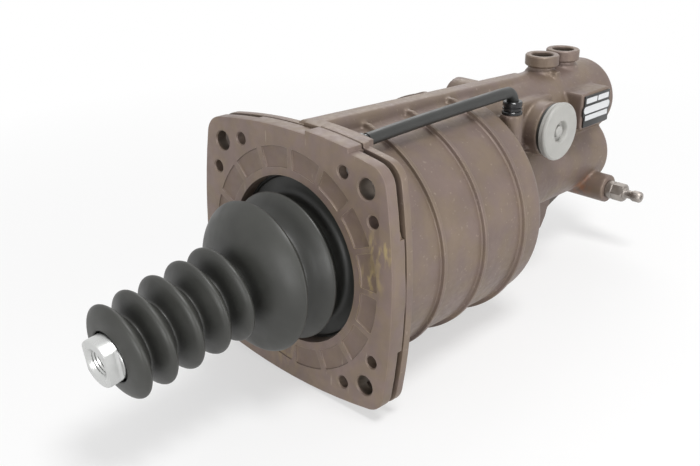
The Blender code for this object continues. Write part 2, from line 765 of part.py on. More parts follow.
def bore_housing(housing):
    """Cut the bores, ports, drilled passages and flange holes of the casting."""
    cut(housing, turned("cavity", cavity_profile(), steps=BIG_STEPS))
    gland = [(0.0, REAR_WALL_INNER - PAST), (GLAND_BORE, REAR_WALL_INNER - PAST),
             (GLAND_BORE, GLAND_CLIP), (GLAND_BORE + CLIP_DEPTH, GLAND_CLIP),
             (GLAND_BORE + CLIP_DEPTH, GLAND_CLIP + CLIP_WIDTH + 2 * GAP),
             (GLAND_BORE, GLAND_CLIP + CLIP_WIDTH + 2 * GAP), (GLAND_BORE, GLAND_END),
             (HYDRAULIC_BORE, GLAND_END), (HYDRAULIC_BORE, HYDRAULIC_DEPTH - DRILL_POINT),
             (0.0, HYDRAULIC_DEPTH)]
    cut(housing, turned("gland_bore", gland))
    valve = [(0.0, REAR_WALL_INNER - PAST), (VALVE_BORE, REAR_WALL_INNER - PAST), (VALVE_BORE, VALVE_CLIP),
             (VALVE_BORE + CLIP_DEPTH, VALVE_CLIP),
             (VALVE_BORE + CLIP_DEPTH, VALVE_CLIP + CLIP_WIDTH + 2 * GAP),
             (VALVE_BORE, VALVE_CLIP + CLIP_WIDTH + 2 * GAP), (VALVE_BORE, VALVE_STEP),
             (RELAY_BORE, VALVE_STEP), (RELAY_BORE, SEAT_STEP), (INLET_BORE, SEAT_STEP),
             (INLET_BORE, INLET_DEPTH), (0.0, INLET_DEPTH)]
    cut(housing, turned("valve_bore", valve, place=(0, 0, VALVE_Z)))
    bottoms = (VALVE_Z, 0.0)
    for index, (station, bottom) in enumerate(zip(PORT_STATIONS, bottoms), 1):
        floor = PORT_TOP - PORT_HOLE_DEPTH
        port = [(0.0, bottom), (PORT_DRILL, bottom), (PORT_DRILL, floor), (PORT_HOLE, floor),
                (PORT_HOLE, PORT_TOP - EDGE), (PORT_HOLE + EDGE, PORT_TOP),
                (PORT_HOLE + EDGE, PORT_TOP + PAST), (0.0, PORT_TOP + PAST)]
        cut(housing, turned(f"port_bore_{index}", port, place=(station, 0, 0), turn=UPRIGHT,
                            steps=SMALL_STEPS))
    chamber_floor = -VENT_BOSS_END - VENT_CHAMBER_DEPTH
    vent = [(0.0, VENT_DRILL_START), (VENT_DRILL, VENT_DRILL_START), (VENT_DRILL, chamber_floor),
            (VENT_CHAMBER, chamber_floor), (VENT_CHAMBER, -VENT_BOSS_END + PAST),
            (0.0, -VENT_BOSS_END + PAST)]
    cut(housing, turned("vent_bore", vent, place=(VENT_X, 0, VENT_Z), turn=ALONG_MINUS_Y))
    socket_floor = SOCKET_TOP - SOCKET_DEPTH
    cut(housing, cylinder("tube_socket", SOCKET_BORE, socket_floor, SOCKET_TOP + PAST,
                          place=(SOCKET_X, TUBE_Y, 0), turn=UPRIGHT, steps=SMALL_STEPS))
    cut(housing, cylinder("socket_drill", DRILL_RADIUS, SOCKET_X, VENT_X,
                          place=(0, TUBE_Y, socket_floor + 2 * DRILL_RADIUS), steps=DRILL_STEPS))
    cut(housing, cylinder("duct", DUCT_RADIUS, REAR_WALL_INNER - ROOTED, DUCT_END,
                          place=(0, DUCT_Y, DUCT_Z), steps=DRILL_STEPS))
    cut(housing, cylinder("duct_drill", DRILL_RADIUS, VALVE_Z, DUCT_Z,
                          place=(DUCT_END - DUCT_RADIUS, DUCT_Y, 0), turn=UPRIGHT, steps=DRILL_STEPS))
    cut(housing, cylinder("control_feed", DRILL_RADIUS, 0.0, VALVE_Z, place=(CONTROL_FEED, 0, 0),
                          turn=UPRIGHT, steps=DRILL_STEPS))
    nozzle_x = NOZZLE_BASE - NOZZLE_DEPTH
    cut(housing, cylinder("nozzle_bore", NOZZLE_BORE, nozzle_x, NOZZLE_BASE + PAST,
                          place=(0, TUBE_Y, NOZZLE_Z), steps=SMALL_STEPS))
    cut(housing, cylinder("nozzle_drill", DRILL_RADIUS, NOZZLE_DRILL_START, NOZZLE_Z,
                          place=(nozzle_x + DRILL_RADIUS, TUBE_Y + NOZZLE_DRILL_SHIFT, 0),
                          turn=UPRIGHT, steps=DRILL_STEPS))
    bleed = [(0.0, -ROOTED), (BLEED_DRILL, -ROOTED), (BLEED_DRILL, -BLEED_BOSS_END - BLEED_DEPTH),
             (BLEED_BORE, -BLEED_BOSS_END - BLEED_DEPTH + FILLET), (BLEED_BORE, -BLEED_BOSS_END + PAST),
             (0.0, -BLEED_BOSS_END + PAST)]
    cut(housing, turned("bleed_bore", bleed, place=(BLEED_X, 0, BLEED_Z), turn=ALONG_MINUS_Y,
                        steps=SMALL_STEPS))
    bleed_feed = (BLEED_X - BLEED_FEED_SHIFT[0], -BLEED_FEED_SHIFT[1], 0)
    cut(housing, cylinder("bleed_drill", BLEED_DRILL, BLEED_Z, 0.0, place=bleed_feed, turn=UPRIGHT,
                          steps=DRILL_STEPS))
    cut(housing, ball("ball_plug_seat", BALL_PLUG_RADIUS + GAP, ball_plug_place()))
    for index, (y, z) in enumerate(corner_places()):
        cut(housing, cylinder(f"flange_corner_{index}", CORNER_HOLE, CASTING_FRONT, FLANGE_BACK + PAST,
                              place=(0, y, z), steps=SMALL_STEPS))
    screws, spare = tapped_places()
    for index, (y, z) in enumerate(screws + spare):
        cut(housing, cylinder(f"flange_tap_{index}", TAP_HOLE, 0.0, FLANGE_BACK + PAST,
                              place=(0, y, z), steps=SMALL_STEPS))
    for index, (y, z) in enumerate(screws):
        cut(housing, cylinder(f"spot_face_{index}", SPOT_FACE, FLANGE_BACK, FLANGE_BACK + SPOT_LENGTH,
                              place=(0, y, z), steps=SMALL_STEPS))


def ball(name, radius, place, material=None, segments=12):
    bm = bmesh.new()
    bmesh.ops.create_uvsphere(bm, u_segments=segments, v_segments=segments // 2, radius=radius)
    mesh = bpy.data.meshes.new(name)
    bm.to_mesh(mesh)
    bm.free()
    obj = add_object(name, mesh, material)
    obj.location = place
    return obj


def ball_plug_place():
    reach = VALVE_OUTER - BALL_PLUG_SUNK
    return (BALL_PLUG_X, reach * math.sin(BALL_PLUG_ANGLE), VALVE_Z + reach * math.cos(BALL_PLUG_ANGLE))


def front_plate():
    """Mounting flange with the bore for the boot and a ring of shallow pockets."""
    plate = flange_blank("front_plate", 0.0, PLATE_THICK, alloy)
    cut(plate, corner_relief())
    spigot = PLATE_THICK + SPIGOT_LENGTH
    join(plate, cylinder("spigot", BARREL_BORE - GAP, PLATE_THICK - PAST, spigot, steps=BIG_STEPS))
    bore = [(0.0, -PAST), (PLATE_BORE, -PAST), (PLATE_BORE, RIM_DEPTH), (RIM_BORE, RIM_DEPTH),
            (RIM_BORE, spigot + PAST), (0.0, spigot + PAST)]
    cut(plate, turned("plate_bore", bore, steps=BIG_STEPS))
    groove = [(SEAL_GROOVE[0], PLATE_THICK + PAST), (SEAL_GROOVE[1], PLATE_THICK + PAST),
              (SEAL_GROOVE[1], PLATE_THICK - SEAL_GROOVE_DEPTH),
              (SEAL_GROOVE[0], PLATE_THICK - SEAL_GROOVE_DEPTH)]
    cut(plate, turned("seal_groove", groove, steps=BIG_STEPS))
    for index, (y, z) in enumerate(corner_places()):
        cut(plate, cylinder(f"corner_hole_{index}", CORNER_HOLE, -PAST, PLATE_THICK + PAST,
                            place=(0, y, z), steps=SMALL_STEPS))
    screws, spare = tapped_places()
    for index, (y, z) in enumerate(screws + spare):
        cut(plate, cylinder(f"tap_hole_{index}", TAP_HOLE, -PAST, PLATE_THICK + PAST, place=(0, y, z),
                            steps=SMALL_STEPS))
    half_angle = math.pi / POCKET_COUNT
    rib_angle = POCKET_RIB / POCKET_INNER / 2
    for index in range(POCKET_COUNT):
        cut(plate, pocket(index, 2 * half_angle * (index + 0.5), half_angle - rib_angle))
    return plate


def corner_relief():
    """Cutter for the step behind the plate's corners, outside the round joint face and the tab."""
    front = PLATE_THICK - CORNER_RELIEF
    past = PLATE_THICK + PAST
    reach = FLANGE_REACH + ROOTED
    relief = block("corner_relief", (front, -reach, -reach), (past, reach, reach))
    cut(relief, cylinder("joint_face", JOINT_RADIUS, front - PAST, past + PAST, steps=BIG_STEPS))
    cut(relief, block("tab_back", (front - PAST, TAB_SPAN[0] - EDGE, TAB_BASE),
                      (past + PAST, TAB_SPAN[1] + EDGE, reach + PAST)))
    return relief


def pocket(index, middle, half_angle):
    """Wedge that cuts one shallow pocket between two radial ribs."""
    bm = bmesh.new()
    bmesh.ops.create_cube(bm, size=1.0)
    for vert in bm.verts:
        radius = POCKET_OUTER if vert.co.z > 0 else POCKET_INNER
        angle = middle + math.copysign(half_angle, vert.co.y)
        vert.co.x = POCKET_DEPTH if vert.co.x > 0 else -PAST
        vert.co.y = radius * math.sin(angle)
        vert.co.z = radius * math.cos(angle)
    mesh = bpy.data.meshes.new(f"pocket_{index}")
    bm.to_mesh(mesh)
    bm.free()
    return add_object(f"pocket_{index}", mesh)


def cover_screws():
    screws, _ = tapped_places()
    head_start = FLANGE_BACK + GAP
    head_end = head_start + SCREW_HEAD_LENGTH
    profile = [(0.0, SCREW_TIP_RECESS), (SCREW_SHANK - FINE_EDGE, SCREW_TIP_RECESS),
               (SCREW_SHANK, SCREW_TIP_RECESS + EDGE), (SCREW_SHANK, head_start),
               (SCREW_HEAD, head_start), (SCREW_HEAD, head_end - FINE_EDGE),
               (SCREW_HEAD - FINE_EDGE, head_end), (0.0, head_end)]
    for index, (y, z) in enumerate(screws, 1):
        screw = turned(f"cover_screw_{index}", profile, zinc, place=(0, y, z), steps=SMALL_STEPS)
        cut(screw, hexagon(f"screw_socket_{index}", SCREW_SOCKET_FLAT, head_end - SCREW_SOCKET_DEPTH,
                           head_end + PAST, place=(0, y, z)))


def boot_outer():
    """Outer profile of the boot from its mouth to its rim, as (radius, station)."""
    crests = [(x * MM, radius * MM) for x, radius in BOOT_CRESTS]
    points = fold(BOOT_MOUTH, *crests[0], BOOT_MOUTH_RADIUS)
    for (before, _), (x, radius) in zip(crests, crests[1:]):
        points += fold((before + x) / 2, x, radius, BOOT_VALLEY)
    points.append((BOOT_VALLEY, BOOT_NECK))
    points += [(radius * MM, BOOT_NECK + past * MM) for past, radius in BOOT_BELL]
    points += wide_fold(BOOT_CONE_X)[1:]
    points.append((BOOT_INNER_VALLEY, (BOOT_CONE_X + BOOT_SECOND_X) / 2))
    points += wide_fold(BOOT_SECOND_X)
    return points


def wide_fold(crest_x):
    """Front flank, flat crest and rear flank of one wide fold."""
    flank = BOOT_INNER_VALLEY + BOOT_FLANK_RISE
    return [(flank, crest_x - BOOT_FLANK), (BOOT_CONE_CREST, crest_x - BOOT_CREST_FLAT / 2),
            (BOOT_CONE_CREST, crest_x + BOOT_CREST_FLAT / 2), (flank, crest_x + BOOT_FLANK)]


def fold(valley_x, crest_x, crest_radius, valley_radius):
    """Half of a fold from its valley up to its crest, then the start of the way down."""
    rise = crest_radius - valley_radius
    run = crest_x - valley_x
    return [(valley_radius, valley_x), (valley_radius + 0.75 * rise, valley_x + 0.45 * run),
            (crest_radius, crest_x), (valley_radius + 0.75 * rise, crest_x + 0.55 * run)]


def inward(points, wall):
    """Points of a profile moved towards the inside by the wall, square to the profile."""
    moved = []
    for index, point in enumerate(points):
        before = Vector(points[max(index - 1, 0)])
        after = Vector(points[min(index + 1, len(points) - 1)])
        along = (after - before).normalized()
        normal = Vector((along.y, -along.x))
        if normal.x > 0:
            normal = -normal
        moved.append(tuple(Vector(point) + normal * wall))
    return moved


def bend_boot(co):
    """Tilt the narrow end of the boot with the drooping rod; the wide end stays straight."""
    share = (co.x - BOOT_BEND_START) / (BOOT_BEND_END - BOOT_BEND_START)
    share = min(max(share, 0.0), 1.0)
    angle = -ROD_DROOP * share * share * (3 - 2 * share)
    x = co.x - BALL_X
    z = co.z
    return Vector((BALL_X + x * math.cos(angle) + z * math.sin(angle), co.y,
                   -x * math.sin(angle) + z * math.cos(angle)))


def boot():
    """Rubber bellows: five small folds on the rod, a cone and two wide folds in the plate's bore."""
    outer = boot_outer()
    inner = inward(outer, BOOT_WALL)
    rim_front = RIM_DEPTH + GAP
    rim_back = rim_front + BOOT_RIM_THICK
    outer += [BOOT_LAST_VALLEY, (BOOT_RIM_NECK, rim_front - FILLET),
              (PLATE_BORE - EDGE, rim_front - EDGE), (PLATE_BORE - FINE_EDGE, rim_front),
              (BOOT_RIM, rim_front), (BOOT_RIM, rim_back)]
    inner += [(BOOT_LAST_VALLEY[0] - BOOT_WALL, BOOT_LAST_VALLEY[1] + FINE_EDGE),
              (BOOT_RIM_NECK - EDGE, rim_front - FINE_EDGE), (PLATE_BORE - FILLET, rim_back)]
    profile = outer + inner[::-1]
    bm = bmesh.new()
    verts = [bm.verts.new((station, 0.0, radius)) for radius, station in profile]
    edges = [bm.edges.new((verts[i], verts[(i + 1) % len(verts)])) for i in range(len(verts))]
    bmesh.ops.spin(bm, geom=verts + edges, cent=(0, 0, 0), axis=(1, 0, 0), angle=2 * math.pi,
                   steps=BOOT_STEPS, use_merge=True)
    bmesh.ops.remove_doubles(bm, verts=bm.verts, dist=SEAM_DISTANCE)
    for vert in bm.verts:
        vert.co = bend_boot(vert.co)
    bmesh.ops.recalc_face_normals(bm, faces=bm.faces)
    mesh = bpy.data.meshes.new("boot")
    bm.to_mesh(mesh)
    bm.free()
    mesh.shade_smooth()
    add_object("boot", mesh, rubber)
    ring_start = rim_back + GAP
    ring("boot_ring", RING_BORE, RIM_BORE - GAP, ring_start, PLATE_THICK + SPIGOT_LENGTH, zinc,
         steps=BIG_STEPS)


def push_rod_pieces():
    """Push rod with its ball, and the threaded rod end, on an empty at the ball's centre."""
    pivot = bpy.data.objects.new("rod_pivot", None)
    parts.objects.link(pivot)
    pivot.location = (BALL_X, 0, 0)
    pivot.rotation_euler = (0.0, -math.pi / 2 - ROD_DROOP, 0.0)
    neck_angle = math.degrees(math.asin(ROD_THROAT / BALL_RADIUS))
    profile = arc((0.0, 0.0), BALL_RADIUS, -90.0, 90.0 - neck_angle, 8)
    profile[0] = (0.0, -BALL_RADIUS)
    profile += [(ROD_THROAT, BALL_RADIUS + ROD_THROAT_LENGTH),
                (ROD_RADIUS, BALL_RADIUS + ROD_THROAT_LENGTH + FILLET),
                (ROD_RADIUS, ROD_SHOULDER), (ROD_STUB, ROD_SHOULDER), (ROD_STUB, ROD_STUB_END),
                (0.0, ROD_STUB_END)]
    rod = turned("push_rod", profile, steel, turn=UPRIGHT)
    rod.parent = pivot
    start = ROD_SHOULDER + GAP
    edge = ROD_END_EDGE
    end_profile = [(ROD_STUB + GAP, start), (ROD_END_RADIUS - edge, start), (ROD_END_RADIUS, start + edge),
                   (ROD_END_RADIUS, ROD_END_FACE - edge), (ROD_END_RADIUS - edge, ROD_END_FACE),
                   (ROD_END_HOLE + edge, ROD_END_FACE), (ROD_END_HOLE, ROD_END_FACE - edge),
                   (ROD_END_HOLE, ROD_STUB_END + GAP), (ROD_STUB + GAP, ROD_STUB_END + GAP)]
    rod_end = turned("rod_end", end_profile, zinc, turn=UPRIGHT)
    rod_end.parent = pivot
    for side in (-1, 1):
        near = side * ROD_END_FLAT / 2
        far = side * (ROD_END_RADIUS + PAST)
        flat = block(f"rod_end_flat_{side}",
                     (-ROD_END_RADIUS, min(near, far), ROD_END_FACE - ROD_END_FLAT_LENGTH),
                     (ROD_END_RADIUS, max(near, far), ROD_END_FACE + PAST))
        flat.parent = pivot
        cut(rod_end, flat)


def socket_arc(first, last, steps):
    """Points on the hollow sphere that carries the ball, as (radius, station)."""
    return arc((0.0, BALL_X), BALL_RADIUS + GAP, first, last, steps)


def ball_joint():
    """Seat, retainer and circlip that hold the rod's ball in the piston's hub."""
    seat_outer = HUB_BORE - GAP
    rim = math.degrees(math.asin(GAP / 2 / (BALL_RADIUS + GAP)))
    hole = math.degrees(math.acos(SEAT_HOLE / (BALL_RADIUS + GAP)))
    profile = [(seat_outer, BALL_X + GAP / 2)] + socket_arc(rim, hole, 6) + [
        (SEAT_HOLE, SEAT_BACK), (seat_outer, SEAT_BACK)]
    turned("ball_seat", profile, nylon)
    mouth = math.degrees(math.acos(RETAINER_MOUTH / (BALL_RADIUS + GAP)))
    retainer_front = BALL_CLIP + CLIP_WIDTH + GAP
    profile = [(seat_outer, BALL_X - GAP / 2)] + socket_arc(-rim, -mouth, 4) + [
        (RETAINER_MOUTH + RETAINER_FLARE, retainer_front), (seat_outer, retainer_front)]
    turned("ball_retainer", profile, bronze)
    ring("ball_circlip", HUB_BORE - CLIP_RADIAL + CLIP_DEPTH, HUB_BORE + CLIP_DEPTH - GAP, BALL_CLIP,
         BALL_CLIP + CLIP_WIDTH, steel)


def air_piston():
    """Alloy piston, its hub towards the rod and its boss towards the plunger."""
    clip_back = BALL_CLIP + CLIP_WIDTH + GAP
    web_front = PISTON_FRONT + PISTON_WEB_INSET
    stub_front = PISTON_BOSS_BACK - PLUNGER_STUB_LENGTH - GAP
    rim_inner = BAND_GROOVE - PISTON_RIM
    profile = [
        (0.0, SEAT_BACK + GAP), (HUB_BORE, SEAT_BACK + GAP), (HUB_BORE, clip_back),
        (HUB_BORE + CLIP_DEPTH, clip_back), (HUB_BORE + CLIP_DEPTH, BALL_CLIP - GAP),
        (HUB_BORE, BALL_CLIP - GAP), (HUB_BORE, HUB_FRONT), (HUB_OUTER - EDGE, HUB_FRONT),
        (HUB_OUTER, HUB_FRONT + EDGE), (HUB_OUTER, web_front - FILLET), (HUB_OUTER + FILLET, web_front),
        (rim_inner - PISTON_DRAFT, web_front), (rim_inner, PISTON_FRONT),
        (PISTON_RADIUS - EDGE, PISTON_FRONT), (PISTON_RADIUS, PISTON_FRONT + EDGE),
        (PISTON_RADIUS, PISTON_SEAL_SPAN[0]),
        (PISTON_GROOVE, PISTON_SEAL_SPAN[0]), (PISTON_GROOVE, PISTON_SEAL_SPAN[1]),
        (PISTON_RADIUS, PISTON_SEAL_SPAN[1]), (PISTON_RADIUS, PISTON_BAND_SPAN[0]),
        (BAND_GROOVE, PISTON_BAND_SPAN[0]), (BAND_GROOVE, PISTON_BAND_SPAN[1]),
        (PISTON_RADIUS, PISTON_BAND_SPAN[1]), (PISTON_RADIUS, PISTON_BACK), (rim_inner, PISTON_BACK),
        (rim_inner - PISTON_DRAFT, web_front + PISTON_WEB),
        (PISTON_BOSS + PISTON_DRAFT, web_front + PISTON_WEB), (PISTON_BOSS, PISTON_BACK),
        (PISTON_BOSS, PISTON_BOSS_BACK), (PLUNGER_STUB + GAP, PISTON_BOSS_BACK),
        (PLUNGER_STUB + GAP, stub_front), (0.0, stub_front)]
    turned("air_piston", profile, alloy, steps=BIG_STEPS)
    lip_tip = BARREL_BORE - SLIDE_GAP
    seal = [(PISTON_GROOVE + GAP, PISTON_SEAL_SPAN[0] + GAP), (lip_tip - EDGE, PISTON_SEAL_SPAN[0] + GAP),
            (lip_tip - FINE_EDGE, PISTON_SEAL_SPAN[1] - LIP_LENGTH), (lip_tip, PISTON_SEAL_SPAN[1] - GAP),
            (PISTON_GROOVE + GAP, PISTON_SEAL_SPAN[1] - GAP)]
    turned("piston_seal", seal, rubber, steps=BIG_STEPS)
    ring("piston_band", BAND_GROOVE + GAP, BARREL_BORE - SLIDE_GAP, PISTON_BAND_SPAN[0] + GAP,
         PISTON_BAND_SPAN[1] - GAP, nylon, steps=BIG_STEPS)
    coil("piston_spring", web_front + PISTON_WEB + GAP, REAR_WALL_INNER - GAP, PISTON_SPRING_FRONT,
         PISTON_SPRING_REAR, PISTON_SPRING_TURNS, PISTON_SPRING_WIRE, spring_steel)


def plunger_pieces():
    """Hydraulic plunger and the gland that guides and seals it."""
    stub_front = PISTON_BOSS_BACK - PLUNGER_STUB_LENGTH
    shoulder = PISTON_BOSS_BACK + GAP
    profile = [(0.0, stub_front), (PLUNGER_STUB, stub_front), (PLUNGER_STUB, shoulder),
               (PLUNGER_RADIUS, shoulder), (PLUNGER_RADIUS, PLUNGER_REAR - WIDE_EDGE),
               (PLUNGER_RADIUS - WIDE_EDGE, PLUNGER_REAR), (0.0, PLUNGER_REAR)]
    turned("plunger", profile, steel)
    inner = PLUNGER_RADIUS + SLIDE_GAP
    ring("plunger_guide", inner, GLAND_BORE - GAP, *GLAND_GUIDE, bronze)
    seal = [(inner, GLAND_SEAL[0] + GAP), (GLAND_BORE - GAP, GLAND_SEAL[0] + GAP),
            (GLAND_BORE - GAP, GLAND_SEAL[1]), (GLAND_BORE - SEAL_HEEL, GLAND_SEAL[1]),
            (GLAND_BORE - FILLET, GLAND_SEAL[0] + FILLET), (inner + SEAL_LIP, GLAND_SEAL[1]),
            (inner, GLAND_SEAL[1] - EDGE)]
    turned("plunger_seal", seal, rubber)
    ring("plunger_circlip", GLAND_BORE + CLIP_DEPTH - CLIP_RADIAL, GLAND_BORE + CLIP_DEPTH - GAP,
         GLAND_CLIP + GAP, GLAND_CLIP + CLIP_WIDTH + GAP, spring_steel)


def grooved_bar(name, radius, start, end, groove, material, place, inner=0.0):
    """Bar or sleeve with one square groove for a sealing ring round its outside."""
    depth = RING_SECTION
    return turned(name, [(inner, start), (radius, start), (radius, groove), (radius - depth, groove),
                         (radius - depth, groove + RING_SECTION + GAP),
                         (radius, groove + RING_SECTION + GAP), (radius, end), (inner, end)],
                  material, place=place)


def valve_pieces():
    """Control valve: plug, sleeve, control piston, relay piston, seat, inlet disc and springs."""
    axis = (0, 0, VALVE_Z)
    outer = VALVE_BORE - GAP
    ring("valve_circlip", VALVE_BORE + CLIP_DEPTH - CLIP_RADIAL, VALVE_BORE + CLIP_DEPTH - GAP,
         VALVE_CLIP + GAP, VALVE_CLIP + CLIP_WIDTH + GAP, spring_steel, place=axis)
    plug_groove = VALVE_PLUG[0] + PLUG_GROOVE
    grooved_bar("valve_plug", outer, *VALVE_PLUG, plug_groove, steel, axis)
    seal_ring("valve_plug_seal", outer, VALVE_BORE, plug_groove, axis)
    sleeve_groove = VALVE_SLEEVE[0] + SLEEVE_GROOVE
    grooved_bar("valve_sleeve", outer, *VALVE_SLEEVE, sleeve_groove, bronze, axis,
                inner=CONTROL_RADIUS + SLIDE_GAP)
    seal_ring("valve_sleeve_seal", outer, VALVE_BORE, sleeve_groove, axis)
    control_groove = CONTROL_FRONT + SLEEVE_GROOVE
    grooved_bar("control_piston", CONTROL_RADIUS, CONTROL_FRONT, CONTROL_REAR, control_groove, steel, axis)
    seal_ring("control_piston_seal", CONTROL_RADIUS, CONTROL_RADIUS + SLIDE_GAP, control_groove, axis)
    relay_piston(axis)
    ring("inlet_seat", SEAT_OPENING, RELAY_BORE - GAP, SEAT_FRONT, SEAT_FRONT + SEAT_LENGTH, bronze,
         place=axis)
    disc = [(0.0, DISC_FRONT), (DISC_RADIUS, DISC_FRONT), (DISC_RADIUS, DISC_FRONT + DISC_THICK),
            (DISC_HUB, DISC_FRONT + DISC_THICK),
            (DISC_HUB, DISC_FRONT + DISC_THICK + DISC_HUB_HEIGHT),
            (0.0, DISC_FRONT + DISC_THICK + DISC_HUB_HEIGHT)]
    turned("inlet_disc", disc, rubber, place=axis)
    coil("inlet_spring", DISC_FRONT + DISC_THICK + GAP, INLET_DEPTH - GAP, INLET_SPRING_RADIUS,
         INLET_SPRING_RADIUS, INLET_SPRING_TURNS, INLET_SPRING_WIRE, spring_steel, VALVE_Z)


def relay_piston(axis):
    """Relay piston with a hollow stem that opens through windows to the vent chamber."""
    radius = RELAY_BORE - SLIDE_GAP
    groove = RELAY_HEAD + RELAY_GROOVE
    depth = radius - RING_SECTION
    profile = [(0.0, RELAY_FRONT), (RELAY_GUARD - EDGE, RELAY_FRONT), (RELAY_GUARD, RELAY_FRONT + EDGE),
               (RELAY_GUARD, RELAY_HEAD), (radius, RELAY_HEAD), (radius, groove), (depth, groove),
               (depth, groove + RING_SECTION + GAP), (radius, groove + RING_SECTION + GAP),
               (radius, RELAY_BACK), (RELAY_STEM, RELAY_BACK), (RELAY_STEM, STEM_END),
               (RELAY_HOLLOW, STEM_END), (RELAY_HOLLOW, RELAY_FRONT + RELAY_FLOOR),
               (0.0, RELAY_FRONT + RELAY_FLOOR)]
    relay = turned("relay_piston", profile, alloy_bright, place=axis)
    window = (RELAY_FRONT + RELAY_HEAD) / 2
    cut(relay, cylinder("relay_window", RELAY_WINDOW, -2 * RELAY_GUARD, 2 * RELAY_GUARD,
                        place=(window, 0, VALVE_Z), turn=ALONG_MINUS_Y, steps=SMALL_STEPS))
    seal_ring("relay_piston_seal", radius, RELAY_BORE, groove, axis)
    coil("relay_spring", RELAY_BACK + GAP, SEAT_FRONT - GAP, RELAY_SPRING_RADIUS,
         RELAY_SPRING_RADIUS, RELAY_SPRING_TURNS, RELAY_SPRING_WIRE, spring_steel, VALVE_Z)


def seal_ring(name, carrier, bore, groove, place):
    """Rubber ring in a carrier's groove, reaching to just inside the bore round it."""
    inner = carrier - RING_SECTION + RING_PINCH
    outer = max(carrier, bore - SLIDE_GAP)
    ring(name, inner + GAP / 2, outer, groove + GAP / 2, groove + RING_SECTION + GAP / 2, rubber,
         place=place)


def vent_pieces():
    """Vent cap with its sealing ring, and the filter behind it."""
    axis = (VENT_X, 0, VENT_Z)
    seal_start = -VENT_BOSS_END + GAP
    ring("vent_seal", VENT_CHAMBER + CAP_SEAL_INSET, VENT_BOSS - CAP_SEAL_INSET, seal_start,
         seal_start + CAP_SEAL, rubber, place=axis, turn=ALONG_MINUS_Y)
    back = seal_start + CAP_SEAL + GAP
    face = back + CAP_THICK
    skirt = VENT_CHAMBER - GAP
    skirt_end = back - CAP_SEAL - 2 * GAP - CAP_SKIRT_LENGTH
    groove = back + CAP_GROOVE_AT
    profile = [(0.0, back), (skirt - CAP_SKIRT, back), (skirt - CAP_SKIRT, skirt_end), (skirt, skirt_end),
               (skirt, back), (CAP_RADIUS - FINE_EDGE, back), (CAP_RADIUS, back + FINE_EDGE),
               (CAP_RADIUS, groove - CAP_GROOVE), (CAP_RADIUS - CAP_GROOVE, groove - CAP_GROOVE / 2),
               (CAP_RADIUS - CAP_GROOVE, groove + CAP_GROOVE / 2), (CAP_RADIUS, groove + CAP_GROOVE),
               (CAP_RADIUS, face - EDGE), (CAP_RADIUS - EDGE, face),
               (CAP_RECESS + EDGE, face), (CAP_RECESS, face - CAP_RECESS_DEPTH),
               (CAP_SPIGOT + FINE_EDGE, face - CAP_RECESS_DEPTH), (CAP_SPIGOT, face - CAP_SPIGOT_DEPTH),
               (0.0, face - CAP_SPIGOT_DEPTH)]
    cap = turned("vent_cap", profile, cap_plastic, place=axis, turn=ALONG_MINUS_Y)
    for side in (0, 1):
        angle = math.pi / 4 + side * math.pi / 2
        slot = block(f"cap_slot_{side}", (-CAP_RADIUS, -CAP_SLOT / 2, skirt_end - PAST),
                     (CAP_RADIUS, CAP_SLOT / 2, back - PAST))
        slot.location = axis
        slot.rotation_euler = (math.pi / 2, angle, 0.0)
        slot.rotation_mode = "YXZ"
        cut(cap, slot)
    floor = -VENT_BOSS_END - VENT_CHAMBER_DEPTH
    ring("vent_filter", FILTER_HOLE, skirt - GAP, floor + GAP, floor + GAP + FILTER_THICK, felt, place=axis,
         turn=ALONG_MINUS_Y)


